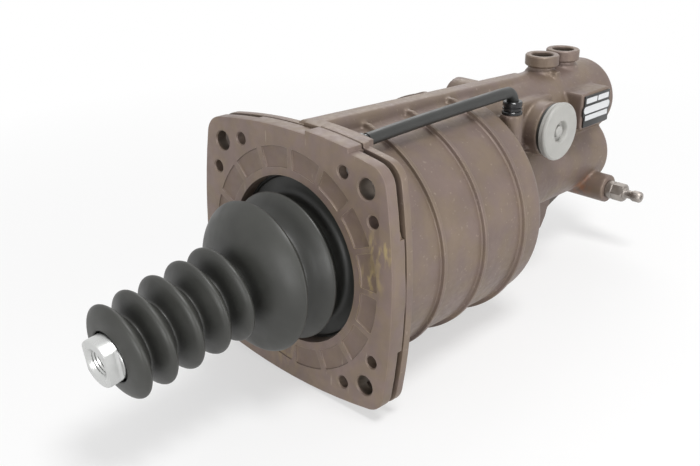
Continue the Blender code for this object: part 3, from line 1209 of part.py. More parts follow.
def tube_pieces():
    """Vent tube from the flange to the vent chamber, with its nozzle and its grommet."""
    nozzle_end = NOZZLE_BASE + NOZZLE_LENGTH
    hollow = NOZZLE_BORE - NOZZLE_WALL
    inside = NOZZLE_BASE - NOZZLE_DEPTH + 2 * DRILL_RADIUS + FINE_EDGE
    profile = [(hollow, inside), (NOZZLE_BORE - GAP, inside), (NOZZLE_BORE - GAP, NOZZLE_BASE + GAP),
               (NOZZLE_COLLAR, NOZZLE_BASE + GAP), (NOZZLE_COLLAR, NOZZLE_BASE + COLLAR_HEIGHT),
               (TUBE_RADIUS - FINE_EDGE, NOZZLE_BASE + COLLAR_HEIGHT + FINE_EDGE),
               (TUBE_RADIUS - FINE_EDGE, nozzle_end),
               (hollow, nozzle_end)]
    turned("tube_nozzle", profile, black_plastic, place=(0, TUBE_Y, NOZZLE_Z), steps=SMALL_STEPS)
    grommet_end = SOCKET_TOP + GAP + GROMMET_HEIGHT
    bottom = SOCKET_TOP - SOCKET_DEPTH + 3 * DRILL_RADIUS + FINE_EDGE
    profile = [(hollow, bottom), (SOCKET_BORE - GAP, bottom), (SOCKET_BORE - GAP, SOCKET_TOP + GAP),
               (GROMMET_COLLAR, SOCKET_TOP + GAP), (GROMMET_COLLAR, SOCKET_TOP + COLLAR_HEIGHT),
               (GROMMET_WAIST, SOCKET_TOP + COLLAR_HEIGHT + FINE_EDGE),
               (GROMMET_WAIST, grommet_end - COLLAR_HEIGHT),
               (GROMMET_COLLAR - FINE_EDGE, grommet_end - COLLAR_HEIGHT + FINE_EDGE),
               (GROMMET_COLLAR - FINE_EDGE, grommet_end), (hollow, grommet_end)]
    turned("tube_grommet", profile, black_plastic, place=(SOCKET_X, TUBE_Y, 0), turn=UPRIGHT,
           steps=SMALL_STEPS)
    start = (nozzle_end + GAP, TUBE_Y, NOZZLE_Z)
    points = [start, (start[0] + FILLET, TUBE_Y, NOZZLE_Z),
              (start[0] + TUBE_RISE, TUBE_Y, TUBE_Z - 0.4 * NOZZLE_DROP)]
    bend_centre = (SOCKET_X - TUBE_BEND, TUBE_Z - TUBE_BEND)
    for share in (0.3, 0.6, 0.85):
        points.append((start[0] + share * (bend_centre[0] - start[0]), TUBE_Y, TUBE_Z))
    for step in range(5):
        angle = math.pi / 2 * (1 - step / 4)
        points.append((bend_centre[0] + TUBE_BEND * math.cos(angle), TUBE_Y,
                       bend_centre[1] + TUBE_BEND * math.sin(angle)))
    points.append((SOCKET_X, TUBE_Y, grommet_end + GAP))
    wire("vent_tube", points, TUBE_RADIUS, hose, resolution=2)


def name_plate():
    """Bare plate with bulged ends on the pad of the valve cylinder."""
    half_x = PLATE_LABEL_SIZE[0] / 2
    half_z = PLATE_LABEL_SIZE[1] / 2
    bulge = half_x + PLATE_LABEL_BULGE
    flat = PLATE_LABEL_FLAT / 2
    middle_x = sum(PAD_SPAN_X) / 2
    middle_z = sum(PAD_SPAN_Z) / 2
    outline = [(-half_x, -half_z), (half_x, -half_z), (bulge, -flat), (bulge, flat), (half_x, half_z),
               (-half_x, half_z), (-bulge, flat), (-bulge, -flat)]
    outline = [(middle_x + x, middle_z + z) for x, z in outline]
    plate = outline_solid("name_plate", outline, PLATE_LABEL_THICK, plate_black)
    plate.location.y = PAD_FACE - GAP - PLATE_LABEL_THICK / 2


def bleed_screw():
    """Bleed screw with a collar, a hexagon and a nipple head drilled through."""
    axis = (BLEED_X, 0, BLEED_Z)
    face = -BLEED_BOSS_END + GAP
    collar_end = face + BLEED_COLLAR_LENGTH
    hex_end = collar_end + BLEED_HEX_LENGTH
    tip = face + BLEED_LENGTH
    shank_tip = -BLEED_BOSS_END - BLEED_DEPTH + 2 * FILLET
    profile = [(0.0, shank_tip), (BLEED_BORE - WIDE_EDGE, shank_tip),
               (BLEED_BORE - GAP, shank_tip + FILLET), (BLEED_BORE - GAP, face), (BLEED_COLLAR, face),
               (BLEED_COLLAR, collar_end),
               (BLEED_NECK + EDGE, collar_end + EDGE), (BLEED_NECK + EDGE, hex_end + EDGE),
               (BLEED_NECK, hex_end + WIDE_EDGE), (BLEED_NECK, tip - BLEED_HEAD_LENGTH - EDGE),
               (BLEED_HEAD, tip - BLEED_HEAD_LENGTH), (BLEED_HEAD, tip - EDGE), (BLEED_HEAD - EDGE, tip),
               (BLEED_DRILL, tip), (BLEED_DRILL, tip - BLEED_HOLE), (0.0, tip - BLEED_HOLE)]
    screw = turned("bleed_screw", profile, steel, place=axis, turn=ALONG_MINUS_Y, steps=SMALL_STEPS)
    join(screw, hexagon("bleed_hex", BLEED_HEX_FLAT, collar_end - FINE_EDGE, hex_end, place=axis,
                        turn=ALONG_MINUS_Y))
    cut(screw, cylinder("bleed_passage", BLEED_DRILL, tip - BLEED_HOLE - WIDE_EDGE, tip + PAST, place=axis,
                        turn=ALONG_MINUS_Y, steps=DRILL_STEPS))


def build():
    cylinder_housing()
    front_plate()
    ring("cover_seal", SEAL_GROOVE[0] + GAP, SEAL_GROOVE[1] - GAP,
         PLATE_THICK - SEAL_GROOVE_DEPTH + GAP, PLATE_THICK, rubber, steps=BIG_STEPS)
    cover_screws()
    boot()
    push_rod_pieces()
    ball_joint()
    air_piston()
    plunger_pieces()
    valve_pieces()
    vent_pieces()
    tube_pieces()
    name_plate()
    bleed_screw()
    ball("ball_plug", BALL_PLUG_RADIUS, ball_plug_place(), steel)


clear_scene()
parts = new_collection("clutch_servo")
cutters = new_collection("cutters")
alloy = make_material("anodised_alloy", (0.19, 0.145, 0.12), 0.5, 0.4)
alloy_bright = make_material("machined_alloy", (0.6, 0.6, 0.6), 0.35, 0.9)
steel = make_material("plain_steel", (0.32, 0.31, 0.3), 0.35, 1.0)
spring_steel = make_material("spring_steel", (0.25, 0.25, 0.27), 0.35, 1.0)
zinc = make_material("zinc_plate", (0.65, 0.65, 0.63), 0.3, 1.0)
bronze = make_material("bronze", (0.45, 0.3, 0.14), 0.4, 1.0)
rubber = make_material("rubber", (0.035, 0.036, 0.034), 0.55, 0.0)
nylon = make_material("nylon", (0.55, 0.52, 0.45), 0.5, 0.0)
felt = make_material("felt", (0.4, 0.38, 0.34), 0.9, 0.0)
hose = make_material("hose", (0.045, 0.047, 0.046), 0.5, 0.0)
black_plastic = make_material("black_plastic", (0.012, 0.012, 0.013), 0.3, 0.0)
cap_plastic = make_material("cap_plastic", (0.55, 0.55, 0.53), 0.45, 0.0)
plate_black = make_material("plate_black", (0.02, 0.02, 0.02), 0.4, 0.0)
build()
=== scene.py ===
"""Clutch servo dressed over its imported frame: brown casting, rubber bellows and small fittings.

The main axis is X, and the push rod leaves towards -X.
"""
import math

import bpy
from mathutils import Matrix, Vector


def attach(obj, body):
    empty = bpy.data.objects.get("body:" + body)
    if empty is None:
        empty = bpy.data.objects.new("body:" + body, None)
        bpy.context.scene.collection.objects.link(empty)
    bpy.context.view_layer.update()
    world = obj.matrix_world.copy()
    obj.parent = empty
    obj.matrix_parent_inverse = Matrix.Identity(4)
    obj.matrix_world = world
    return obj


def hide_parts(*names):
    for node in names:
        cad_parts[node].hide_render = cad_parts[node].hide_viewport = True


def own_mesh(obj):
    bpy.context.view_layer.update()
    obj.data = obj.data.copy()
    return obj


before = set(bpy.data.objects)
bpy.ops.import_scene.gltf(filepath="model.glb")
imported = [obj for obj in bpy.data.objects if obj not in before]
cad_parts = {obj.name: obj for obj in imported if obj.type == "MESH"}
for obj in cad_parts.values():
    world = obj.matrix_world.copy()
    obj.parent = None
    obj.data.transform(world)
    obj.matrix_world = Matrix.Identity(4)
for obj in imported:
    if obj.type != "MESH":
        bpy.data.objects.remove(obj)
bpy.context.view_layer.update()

bl_info = {
    "name": "Clutch Servo",
    "version": (1, 0, 0),
    "blender": (4, 5, 0),
    "location": "View3D > Sidebar > Clutch Servo",
    "description": "Models and finishes the pieces of a truck clutch servo over its fixed frame",
    "category": "Object",
}

MM = 0.001

# Directions that a turned piece's stations and radii run along
ALONG_X = (Vector((1, 0, 0)), Vector((0, 0, 1)))
ALONG_MINUS_Y = (Vector((0, -1, 0)), Vector((1, 0, 0)))
UPRIGHT = (Vector((0, 0, 1)), Vector((1, 0, 0)))

# Rod line: the ball's centre, and the droop of the rod below the main axis
BALL = Vector((-25 * MM, 0, 0))
DROOP = math.radians(8)
ALONG_ROD = (Vector((-math.cos(DROOP), 0, -math.sin(DROOP))), Vector((-math.sin(DROOP), 0, math.cos(DROOP))))

# Places shared by several pieces
VALVE_AXIS = Vector((0, 0, 40 * MM))
VENT_AXIS = Vector((188.5 * MM, 0, 40.5 * MM))
BLEED_AXIS = Vector((265 * MM, 0, -18.6 * MM))
TUBE_Y = -30.5 * MM
SOCKET_X = 152.5 * MM
PORT_STATIONS = (227 * MM, 251.5 * MM)
PORT_TOP = 76.6 * MM
CORNER_HALF = 55 * MM
TAP_WIDE = 59.7 * MM
TAP_NARROW = 39 * MM
NOZZLE_Z = 68.8 * MM

# Flange of the plate and the casting: bowed sides, rounded corners and a tab on the top side
FLANGE_REACH = 73.3 * MM
FLANGE_BOW = 330 * MM
FLANGE_CORNER = 12 * MM
TAB_SPAN = (-42.5 * MM, -12 * MM)
TAB_RISE = 2.2 * MM
TAB_BASE = 52 * MM
JOINT_RADIUS = 76.5 * MM
SLOT_END = 31 * MM
PLATE_BACK = 10 * MM
FLANGE_FRONT = 11.1 * MM
FLANGE_BACK = 15.7 * MM
BARREL_RADIUS = 66 * MM
RIB_STATIONS = (47.7 * MM, 83.1 * MM, 119.9 * MM)
CORNER_HOLE = 5.5 * MM
TAP_HOLE = 3.4 * MM

# Steps round the barrel and the plate
AROUND = 160

# Bleed screw's hexagon, vent tube, valve cylinder and ball plug
HEX_FLAT = 11 * MM
TUBE_RADIUS = 3.55 * MM
VALVE_RADIUS = 26 * MM
BALL_RADIUS = 2.4 * MM

# Studio: the camera solved from the photo, the floor under it and the light
CAMERA_PLACE = (-0.31713, -0.35558, 0.21777)
CAMERA_LOOK = (0.65683, 0.64483, -0.39086)
CAMERA_UP = (0.27676, 0.27602, 0.92044)
CAMERA_LENS = 49.73
SENSOR_WIDTH = 36
FLOOR_PLACE = (19.2 * MM, 0, -73.4 * MM)
FLOOR_SLOPE = math.atan2(5.3, 100.7)
AMBIENT = 0.4
LAMP_TARGET = (60 * MM, 0, 0)
LAMPS = (("key_lamp", (-0.05, -0.5, 1.25), 0.5, 11.0), ("side_lamp", (0.25, -1.3, 0.05), 0.8, 7.5),
         ("front_lamp", (-1.1, -0.6, 0.1), 0.6, 6.0), ("rear_lamp", (0.9, 0.7, 0.9), 0.8, 4.0))


def length(name, description, millimetres):
    return bpy.props.FloatProperty(name=name, description=description, default=millimetres * MM,
                                   min=0.0, precision=4, subtype="DISTANCE", unit="LENGTH")


def tint(name, description, colour):
    return bpy.props.FloatVectorProperty(name=name, description=description, default=colour, size=3,
                                         min=0.0, max=1.0, subtype="COLOR")


class ServoSizes(bpy.types.PropertyGroup):
    """Sizes that shape the dressed pieces"""
    melt_voxel: length("Melt Voxel", "Voxel that melts the rough casting into one skin", 0.9)
    rib_height: length("Rib Height", "Height of the three ribs round the barrel", 2.7)
    rib_width: length("Rib Width", "Width of a barrel rib at its crest", 2.8)
    plate_edge: length("Plate Edge", "Bevel along the front plate's edges", 0.4)
    pocket_depth: length("Pocket Depth", "Depth of the shallow pockets in the front face", 0.9)
    pocket_count: bpy.props.IntProperty(name="Pockets", description="Pockets round the plate's bore",
                                        default=16, min=4, max=40)
    hole_lead: length("Hole Lead-in", "Chamfer at the mouth of a flange hole", 0.7)
    boot_wall: length("Boot Wall", "Thickness of the rubber bellows", 2.0)
    boot_sag: length("Boot Sag", "How far the boot's wide folds hang below the bore's middle", 1.5)
    thread_pitch: length("Thread Pitch", "Pitch of the rod end's thread", 1.5)
    cap_recess: length("Cap Recess", "Radius of the recess in the vent cap", 6.6)
    floor_size: length("Floor", "Side of the studio floor", 6000)


class ServoColours(bpy.types.PropertyGroup):
    """Colours of the finishes"""
    casting: tint("Casting", "Brown anodised casting", (0.17, 0.128, 0.102))
    plate_face: tint("Plate Face", "Worn front face of the plate", (0.222, 0.167, 0.134))
    # Painted shade: this dark colour stands in for the shade inside the port bores and the corner holes.
    recess: tint("Recess", "Painted shade inside the ports and the corner holes", (0.05, 0.044, 0.034))
    pocket: tint("Pocket Floor", "Darker floor of the shallow pockets", (0.15, 0.105, 0.08))
    # Bare metal on worn edges and scratches; on sharp edges the same colour also serves as painted highlight.
    worn: tint("Worn Edge", "Bare metal and painted highlight on edges", (0.42, 0.37, 0.31))
    stain: tint("Stain", "Dried oil on the front face", (0.4, 0.31, 0.15))
    rust: tint("Rust", "Rust that ran from the bleed screw", (0.3, 0.12, 0.045))
    rubber: tint("Rubber", "Moulded black rubber", (0.034, 0.0345, 0.0305))
    zinc: tint("Zinc", "Bright zinc plate", (0.6, 0.605, 0.595))
    hose: tint("Hose", "Vent tube", (0.02, 0.0205, 0.019))
    black: tint("Black Plastic", "Glossy black fittings", (0.012, 0.012, 0.013))
    cap: tint("Cap", "Pale grey vent cap", (0.36, 0.355, 0.335))
    label_black: tint("Plate Black", "Printed black of the name plate", (0.014, 0.014, 0.014))
    label_white: tint("Plate Field", "Bare fields of the name plate", (0.6, 0.61, 0.62))
    bleed: tint("Bleed Screw", "Dulled plating of the bleed screw", (0.34, 0.31, 0.285))
    floor: tint("Floor", "Studio floor", (0.9, 0.9, 0.9))


# Modelling helpers


def deselect():
    if bpy.context.object and bpy.context.object.mode != "OBJECT":
        bpy.ops.object.mode_set(mode="OBJECT")
    bpy.ops.object.select_all(action="DESELECT")


def choose(obj):
    """Make obj the only selected and active object."""
    deselect()
    obj.select_set(True)
    bpy.context.view_layer.objects.active = obj
    return obj


def apply_place(obj):
    choose(obj)
    bpy.ops.object.transform_apply(location=True, rotation=True, scale=True)
    return obj


def apply_modifier(obj, kind, **settings):
    choose(obj)
    modifier = obj.modifiers.new(kind.title(), kind)
    for key, value in settings.items():
        setattr(modifier, key, value)
    bpy.ops.object.modifier_apply(modifier=modifier.name)
    return obj


def pick(obj, kind, wanted):
    """Enter edit mode with only the vertices, edges or faces selected for which wanted is true."""
    choose(obj)
    bpy.ops.object.mode_set(mode="EDIT")
    bpy.ops.mesh.select_mode(type=kind)
    bpy.ops.mesh.select_all(action="DESELECT")
    bpy.ops.object.mode_set(mode="OBJECT")
    items = {"VERT": obj.data.vertices, "EDGE": obj.data.edges, "FACE": obj.data.polygons}[kind]
    for item in items:
        item.select = bool(wanted(item))
    bpy.ops.object.mode_set(mode="EDIT")


def ends(obj, edge):
    return [obj.data.vertices[index].co for index in edge.vertices]


def scaled(points):
    """Points given in millimetres, as metres."""
    return [tuple(value * MM for value in point) for point in points]


def face_out(obj):
    pick(obj, "FACE", lambda face: True)
    bpy.ops.mesh.normals_make_consistent(inside=False)
    bpy.ops.object.mode_set(mode="OBJECT")


def bevel_edges(obj, wanted, offset, segments):
    """Bevel the edges for which wanted is true."""
    pick(obj, "EDGE", wanted)
    bpy.ops.mesh.bevel(offset=offset, segments=segments, affect="EDGES")
    bpy.ops.object.mode_set(mode="OBJECT")


def soften(obj, width, segments=3, sharp=50):
    """Bevel every edge that turns by more than sharp, in degrees."""
    return apply_modifier(obj, "BEVEL", width=width, segments=segments, limit_method="ANGLE",
                          angle_limit=math.radians(sharp))


def draw_line(name, points):
    """Line drawn point by point from a single vertex; the object is left in edit mode."""
    deselect()
    bpy.ops.mesh.primitive_plane_add(size=MM, location=points[0])
    obj = apply_place(bpy.context.object)
    obj.name = name
    bpy.ops.object.mode_set(mode="EDIT")
    bpy.ops.mesh.select_mode(type="VERT")
    bpy.ops.mesh.select_all(action="SELECT")
    bpy.ops.mesh.merge(type="CENTER")
    for before, after in zip(points, points[1:]):
        bpy.ops.mesh.extrude_region_move(TRANSFORM_OT_translate={"value": after - before})
    bpy.ops.mesh.select_all(action="SELECT")
    return obj


def turned(name, profile, place=(0, 0, 0), turn=ALONG_X, steps=96):
    """Profile of (radius, station) points, spun round its axis."""
    axis, side = turn
    place = Vector(place)
    obj = draw_line(name, [place + axis * station + side * radius for radius, station in profile])
    bpy.ops.mesh.spin(steps=steps, angle=2 * math.pi, center=place, axis=axis)
    bpy.ops.mesh.select_all(action="SELECT")
    bpy.ops.mesh.remove_doubles(threshold=0.002 * MM)
    bpy.ops.mesh.normals_make_consistent(inside=False)
    bpy.ops.object.mode_set(mode="OBJECT")
    return obj


def bar(name, radius, start, end, place=(0, 0, 0), turn=ALONG_X, edge=0.0, steps=96):
    """Round bar with both ends rounded or chamfered by edge."""
    profile = [(0, start), (radius - edge, start)]
    if edge:
        profile += [(radius - 0.3 * edge, start + 0.3 * edge), (radius, start + edge), (radius, end - edge),
                    (radius - 0.3 * edge, end - 0.3 * edge)]
    else:
        profile += [(radius, start)]
    profile += [(radius - edge, end), (0, end)]
    return turned(name, profile, place, turn, steps)


def block(name, low, high, edge=0.0):
    """Block between two corners, its edges rounded by edge."""
    low, high = Vector(low), Vector(high)
    deselect()
    bpy.ops.mesh.primitive_cube_add(size=1, location=(low + high) / 2)
    obj = bpy.context.object
    bpy.ops.transform.resize(value=high - low)
    apply_place(obj)
    obj.name = name
    if edge:
        bevel_edges(obj, lambda item: True, edge, 4)
    return obj


def slab(name, outline, low, high, across=1):
    """Flat outline of (a, b) points, extruded from low to high along the axis called across."""
    first, second = [axis for axis in range(3) if axis != across]

    def at(point, depth):
        place = Vector((0, 0, 0))
        place[first], place[second], place[across] = point[0], point[1], depth
        return place

    corners = [at(point, low) for point in outline]
    obj = draw_line(name, corners + corners[:1])
    bpy.ops.mesh.remove_doubles(threshold=0.002 * MM)
    bpy.ops.mesh.edge_face_add()
    bpy.ops.mesh.extrude_region_move(
        TRANSFORM_OT_translate={"value": at((0, 0), high) - at((0, 0), low)})
    bpy.ops.mesh.select_all(action="SELECT")
    bpy.ops.mesh.normals_make_consistent(inside=False)
    bpy.ops.object.mode_set(mode="OBJECT")
    return obj


def hexagon(name, flat, start, end, place, turn):
    return turned(name, [(0, start), (flat / math.sqrt(3), start), (flat / math.sqrt(3), end), (0, end)],
                  place, turn, steps=6)


def together(name, *objects):
    """Join objects into one mesh without melting them."""
    choose(objects[0])
    for obj in objects:
        obj.select_set(True)
    bpy.ops.object.join()
    bpy.context.object.name = name
    return bpy.context.object


def combine(target, *others, operation="DIFFERENCE"):
    for other in others:
        apply_modifier(target, "BOOLEAN", object=other, operation=operation, solver="MANIFOLD")
        choose(other)
        bpy.ops.object.delete()
    return target


def melt(obj, voxel, passes, share):
    """Melt overlapping solids into one skin with soft corners, then thin it out."""
    apply_modifier(obj, "REMESH", mode="VOXEL", voxel_size=voxel)
    apply_modifier(obj, "SMOOTH", factor=0.5, iterations=passes)
    if share < 1:
        apply_modifier(obj, "DECIMATE", ratio=share)
    return obj


def smooth_profile(points, steps):
    """Points of a soft curve through the given (radius, station) points."""
    knots = [Vector(point) for point in points]
    knots = [2 * knots[0] - knots[1]] + knots + [2 * knots[-1] - knots[-2]]
    soft = []
    for a, b, c, d in zip(knots, knots[1:], knots[2:], knots[3:]):
        for step in range(steps):
            t = step / steps
            soft.append(0.5 * (2 * b + (c - a) * t + (2 * a - 5 * b + 4 * c - d) * t * t
                               + (3 * b - a - 3 * c + d) * t ** 3))
    return [tuple(point) for point in soft + [knots[-2]]]


def dress(obj, body, slot, material, *nodes, angle=30.0):
    """Smooth a finished piece, give it its finish, set it on its body and let it stand for its nodes."""
    choose(obj)
    if angle:
        bpy.ops.object.shade_smooth_by_angle(angle=math.radians(angle))
    else:
        bpy.ops.object.shade_smooth()
    obj.data.materials.clear()
    obj.data.materials.append(material)
    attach(obj, body)
    if nodes:
        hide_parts(*nodes)
    return obj


# Finishes


class Finish:
    """A material under construction: nodes are added one by one and wired to its shader."""

    def __init__(self, name, colour, roughness, metallic=0.0):
        self.material = bpy.data.materials.new(name)
        self.material.use_nodes = True
        self.tree = self.material.node_tree
        self.shader = self.tree.nodes["Principled BSDF"]
        self.colour = (*colour, 1.0)
        self.set(**{"Base Color": self.colour, "Roughness": roughness, "Metallic": metallic})
        self.place = self.node("ShaderNodeTexCoord", {}).outputs["Object"]

    def set(self, **values):
        for key, value in values.items():
            self.feed(self.shader.inputs[key.replace("_", " ")], value)

    def feed(self, socket, value):
        if isinstance(value, bpy.types.NodeSocket):
            self.tree.links.new(value, socket)
        else:
            socket.default_value = value

    def node(self, kind, inputs, **settings):
        made = self.tree.nodes.new(kind)
        for key, value in settings.items():
            setattr(made, key, value)
        for key, value in inputs.items():
            self.feed(made.inputs[key], value)
        return made

    def noise(self, scale, detail=3.0, stretch=(1, 1, 1)):
        """Soft noise, its scale in waves per metre."""
        place = self.node("ShaderNodeMapping", {"Vector": self.place, "Scale": stretch}).outputs["Vector"]
        return self.node("ShaderNodeTexNoise", {"Vector": place, "Scale": scale,
                                                "Detail": detail}).outputs["Fac"]

    def between(self, value, low, high, to_low=0.0, to_high=1.0):
        inputs = {"Value": value, "From Min": low, "From Max": high, "To Min": to_low, "To Max": to_high}
        return self.node("ShaderNodeMapRange", inputs).outputs["Result"]

    def times(self, first, second):
        return self.node("ShaderNodeMath", {0: first, 1: second}, operation="MULTIPLY").outputs[0]

    def near(self, centre, reach, soft):
        """1 near a point, falling to 0 between reach - soft and reach."""
        span = self.node("ShaderNodeVectorMath", {0: self.place, 1: centre}, operation="DISTANCE")
        return self.between(span.outputs["Value"], reach - soft, reach, 1.0, 0.0)

    def mix(self, share, first, second):
        inputs = {0: share, 6: first, 7: second}
        return self.node("ShaderNodeMix", inputs, data_type="RGBA").outputs[2]

    def over(self, share, colour, look):
        """Lay one of the named colours over another, by share."""
        return self.mix(share, colour, (*getattr(looks(), look), 1.0))

    def mottle(self, amount, scale=45.0):
        """Vary the base colour by amount, in soft clouds."""
        dark = [part * (1 - amount) for part in self.colour[:3]] + [1.0]
        light = [min(1.0, part * (1 + amount)) for part in self.colour[:3]] + [1.0]
        cloud = self.between(self.noise(scale, 4.0), 0.35, 0.65)
        return self.mix(cloud, dark, light)

    def hue(self, colour, scale, warm=(1.03, 1.01, 0.93, 1.0), cool=(0.98, 0.95, 1.02, 1.0)):
        """Let a colour wander between an olive and a mauve tint, in soft patches."""
        patches = self.between(self.noise(scale, 3.0), 0.4, 0.6)
        inputs = {0: 1.0, 6: colour, 7: self.mix(patches, warm, cool)}
        return self.node("ShaderNodeMix", inputs, data_type="RGBA", blend_type="MULTIPLY").outputs[2]

    def edges(self, radius, strength):
        """Share of a lighter colour on sharp edges, where a rounded normal leaves the true one: partly wear
        to bare metal, partly a painted edge highlight.
        """
        soft = self.node("ShaderNodeBevel", {"Radius": radius}, samples=4).outputs["Normal"]
        true = self.node("ShaderNodeNewGeometry", {}).outputs["Normal"]
        dot = self.node("ShaderNodeVectorMath", {0: soft, 1: true}, operation="DOT_PRODUCT").outputs["Value"]
        return self.between(dot, 0.8, 0.97, strength, 0.0)

    def inside(self, centre, keep, reach, folded=False):
        """1 within reach of a line through centre; keep is 0 along the line. Folded means both sides."""
        place = self.place
        if folded:
            place = self.node("ShaderNodeVectorMath", {0: place}, operation="ABSOLUTE").outputs["Vector"]
        place = self.node("ShaderNodeVectorMath", {0: place, 1: keep}, operation="MULTIPLY").outputs["Vector"]
        span = self.node("ShaderNodeVectorMath", {0: place, 1: centre}, operation="DISTANCE")
        return self.between(span.outputs["Value"], reach - 0.15 * MM, reach, 1.0, 0.0)

    def bump(self, *layers):
        """Bump from (noise scale, height in millimetres) layers."""
        normal = None
        for scale, height in layers:
            inputs = {"Height": self.noise(scale, 2.0), "Strength": 1.0, "Distance": height * MM}
            if normal:
                inputs["Normal"] = normal
            normal = self.node("ShaderNodeBump", inputs).outputs["Normal"]
        self.set(Normal=normal)


def looks():
    return bpy.context.scene.servo_colours


def sizes():
    return bpy.context.scene.servo_sizes


def casting_finish():
    """Satin brown anodising with faint clouds, a fine grain and some rust below the bleed screw, with painted
    shade inside the ports and corner holes and a painted highlight, mixed with wear, on sharp edges.
    """
    finish = Finish("anodised_casting", looks().casting, 0.46, 0.25)
    colour = finish.hue(finish.mottle(0.07), 60)
    # Painted highlight and wear: sharp edges are lightened towards bare metal.
    colour = finish.over(finish.edges(0.5 * MM, 0.4), colour, "worn")
    # Painted shade: the port bores darken towards their depth, where shade falls inside them.
    height = finish.node("ShaderNodeSeparateXYZ", {0: finish.place}).outputs["Z"]
    sunk = finish.between(height, PORT_TOP - 2.5 * MM, PORT_TOP - 0.8 * MM, 0.75, 0.0)
    for station in PORT_STATIONS:
        bore = finish.times(finish.inside((station, 0, 0), (1, 1, 0), 7.5 * MM), sunk)
        colour = finish.over(bore, colour, "recess")
    # Painted shade: the corner holes darken inside.
    corner = finish.inside((0, CORNER_HALF, CORNER_HALF), (0, 1, 1), 5.8 * MM, folded=True)
    colour = finish.over(finish.times(corner, 0.6), colour, "recess")
    scuffs = finish.between(finish.noise(420, 2.0), 0.66, 0.72, 0.0, 0.35)
    colour = finish.mix(scuffs, colour, (0.33, 0.27, 0.23, 1.0))
    rust = finish.times(finish.near((258 * MM, -18 * MM, -17 * MM), 15 * MM, 9 * MM),
                        finish.between(finish.noise(160), 0.42, 0.62, 0.0, 0.55))
    finish.set(Base_Color=finish.over(rust, colour, "rust"))
    finish.set(Roughness=finish.between(finish.noise(300), 0.3, 0.7, 0.4, 0.54))
    finish.bump((1500, 0.05), (110, 0.12))
    return finish.material


def plate_finish():
    """The same brown, worn on its face, with dried stains and fine scratches, painted shade inside the corner
    holes and a painted highlight, mixed with wear, on its edges.
    """
    finish = Finish("anodised_plate", looks().casting, 0.48, 0.25)
    colour = finish.mottle(0.08)
    normal = finish.node("ShaderNodeNewGeometry", {}).outputs["Normal"]
    across = finish.node("ShaderNodeSeparateXYZ", {0: normal}).outputs["X"]
    facing = finish.between(across, -0.9, -0.6, 1.0, 0.0)
    worn = finish.times(facing, finish.between(finish.noise(70), 0.3, 0.7, 0.35, 1.0))
    colour = finish.hue(finish.over(worn, colour, "plate_face"), 95)
    place = finish.node("ShaderNodeSeparateXYZ", {0: finish.place}).outputs["X"]
    sunk = finish.times(finish.between(place, 0.3 * MM, 0.8 * MM), finish.between(place, 1.2 * MM, 1.0 * MM))
    colour = finish.over(finish.times(sunk, 0.45), colour, "pocket")
    # Painted highlight and wear: sharp edges are lightened unevenly towards bare metal.
    edges = finish.edges(0.45 * MM, 0.85)
    rubbed = finish.times(edges, finish.between(finish.noise(150), 0.35, 0.6, 0.35, 1.0))
    colour = finish.over(rubbed, colour, "worn")
    oily = finish.times(edges, finish.near((0, -60 * MM, 12 * MM), 45 * MM, 20 * MM))
    colour = finish.over(oily, colour, "stain")
    # Painted shade: the corner holes darken with depth below the face.
    painted_shade = finish.between(place, 0.8 * MM, 2.5 * MM, 0.0, 0.65)
    corner = finish.inside((0, CORNER_HALF, CORNER_HALF), (0, 1, 1), 5.8 * MM, folded=True)
    colour = finish.over(finish.times(corner, painted_shade), colour, "recess")
    for y, z, reach, share in ((-64, 26, 13, 0.8), (-59, 8, 10, 0.7), (48, -20, 14, 0.3), (8, -60, 14, 0.3)):
        patch = finish.near((0, y * MM, z * MM), reach * MM, 0.6 * reach * MM)
        spots = finish.between(finish.noise(230, 5.0, (1, 1.0, 0.45)), 0.48, 0.62, 0.0, share)
        spots = finish.times(finish.times(spots, patch), facing)
        colour = finish.over(spots, colour, "stain")
    for turn in (0.35, 1.1, 2.2):
        place = finish.node("ShaderNodeMapping", {"Vector": finish.place, "Rotation": (turn, 0, 0),
                                                  "Scale": (1, 1, 0.09)}).outputs["Vector"]
        lines = finish.node("ShaderNodeTexNoise", {"Vector": place, "Scale": 420.0,
                                                   "Detail": 1.0}).outputs["Fac"]
        lines = finish.times(finish.between(lines, 0.74, 0.77, 0.0, 0.4), facing)
        lines = finish.times(lines, finish.between(finish.noise(60 + 9 * turn), 0.52, 0.62))
        colour = finish.over(lines, colour, "worn")
    finish.set(Base_Color=colour)
    finish.set(Roughness=finish.between(finish.noise(240), 0.3, 0.7, 0.4, 0.56))
    finish.bump((1500, 0.05), (140, 0.06))
    return finish.material


def rubber_finish(name, colour, roughness):
    finish = Finish(name, colour, roughness)
    # Painted shade: the colour darkens towards a deep tone in folds and creases, where ambient occlusion is
    # low.
    shade = finish.node("ShaderNodeAmbientOcclusion", {"Distance": 30 * MM}, samples=6).outputs["AO"]
    dusty = finish.mottle(0.12, 60)
    painted_shade = [part * 0.35 for part in colour] + [1.0]
    finish.set(Base_Color=finish.mix(finish.between(shade, 0.2, 0.8), painted_shade, dusty))
    finish.set(Roughness=finish.between(finish.noise(90), 0.3, 0.7, roughness - 0.05, roughness + 0.08))
    finish.bump((2500, 0.012), (260, 0.03))
    return finish.material


def metal_finish(name, colour, roughness, clouds=0.05, grain=0.01):
    finish = Finish(name, colour, roughness, 1.0)
    finish.set(Base_Color=finish.mottle(clouds, 120))
    finish.set(Roughness=finish.between(finish.noise(200), 0.3, 0.7, roughness - 0.05, roughness + 0.07))
    finish.bump((1800, grain))
    return finish.material


def plastic_finish(name, colour, roughness, grain=0.01):
    finish = Finish(name, colour, roughness)
    finish.set(Base_Color=finish.mottle(0.04, 90))
    finish.bump((2200, grain))
    return finish.material


# Casting


def bowed(first, last, rise=0.0, steps=10):
    """Points along the flange's bowed top side between two Y places, raised above it."""
    sunk = FLANGE_BOW - FLANGE_REACH
    places = [first + (last - first) * step / steps for step in range(steps + 1)]
    return [(y, math.sqrt(FLANGE_BOW ** 2 - y ** 2) - sunk + rise) for y in places]


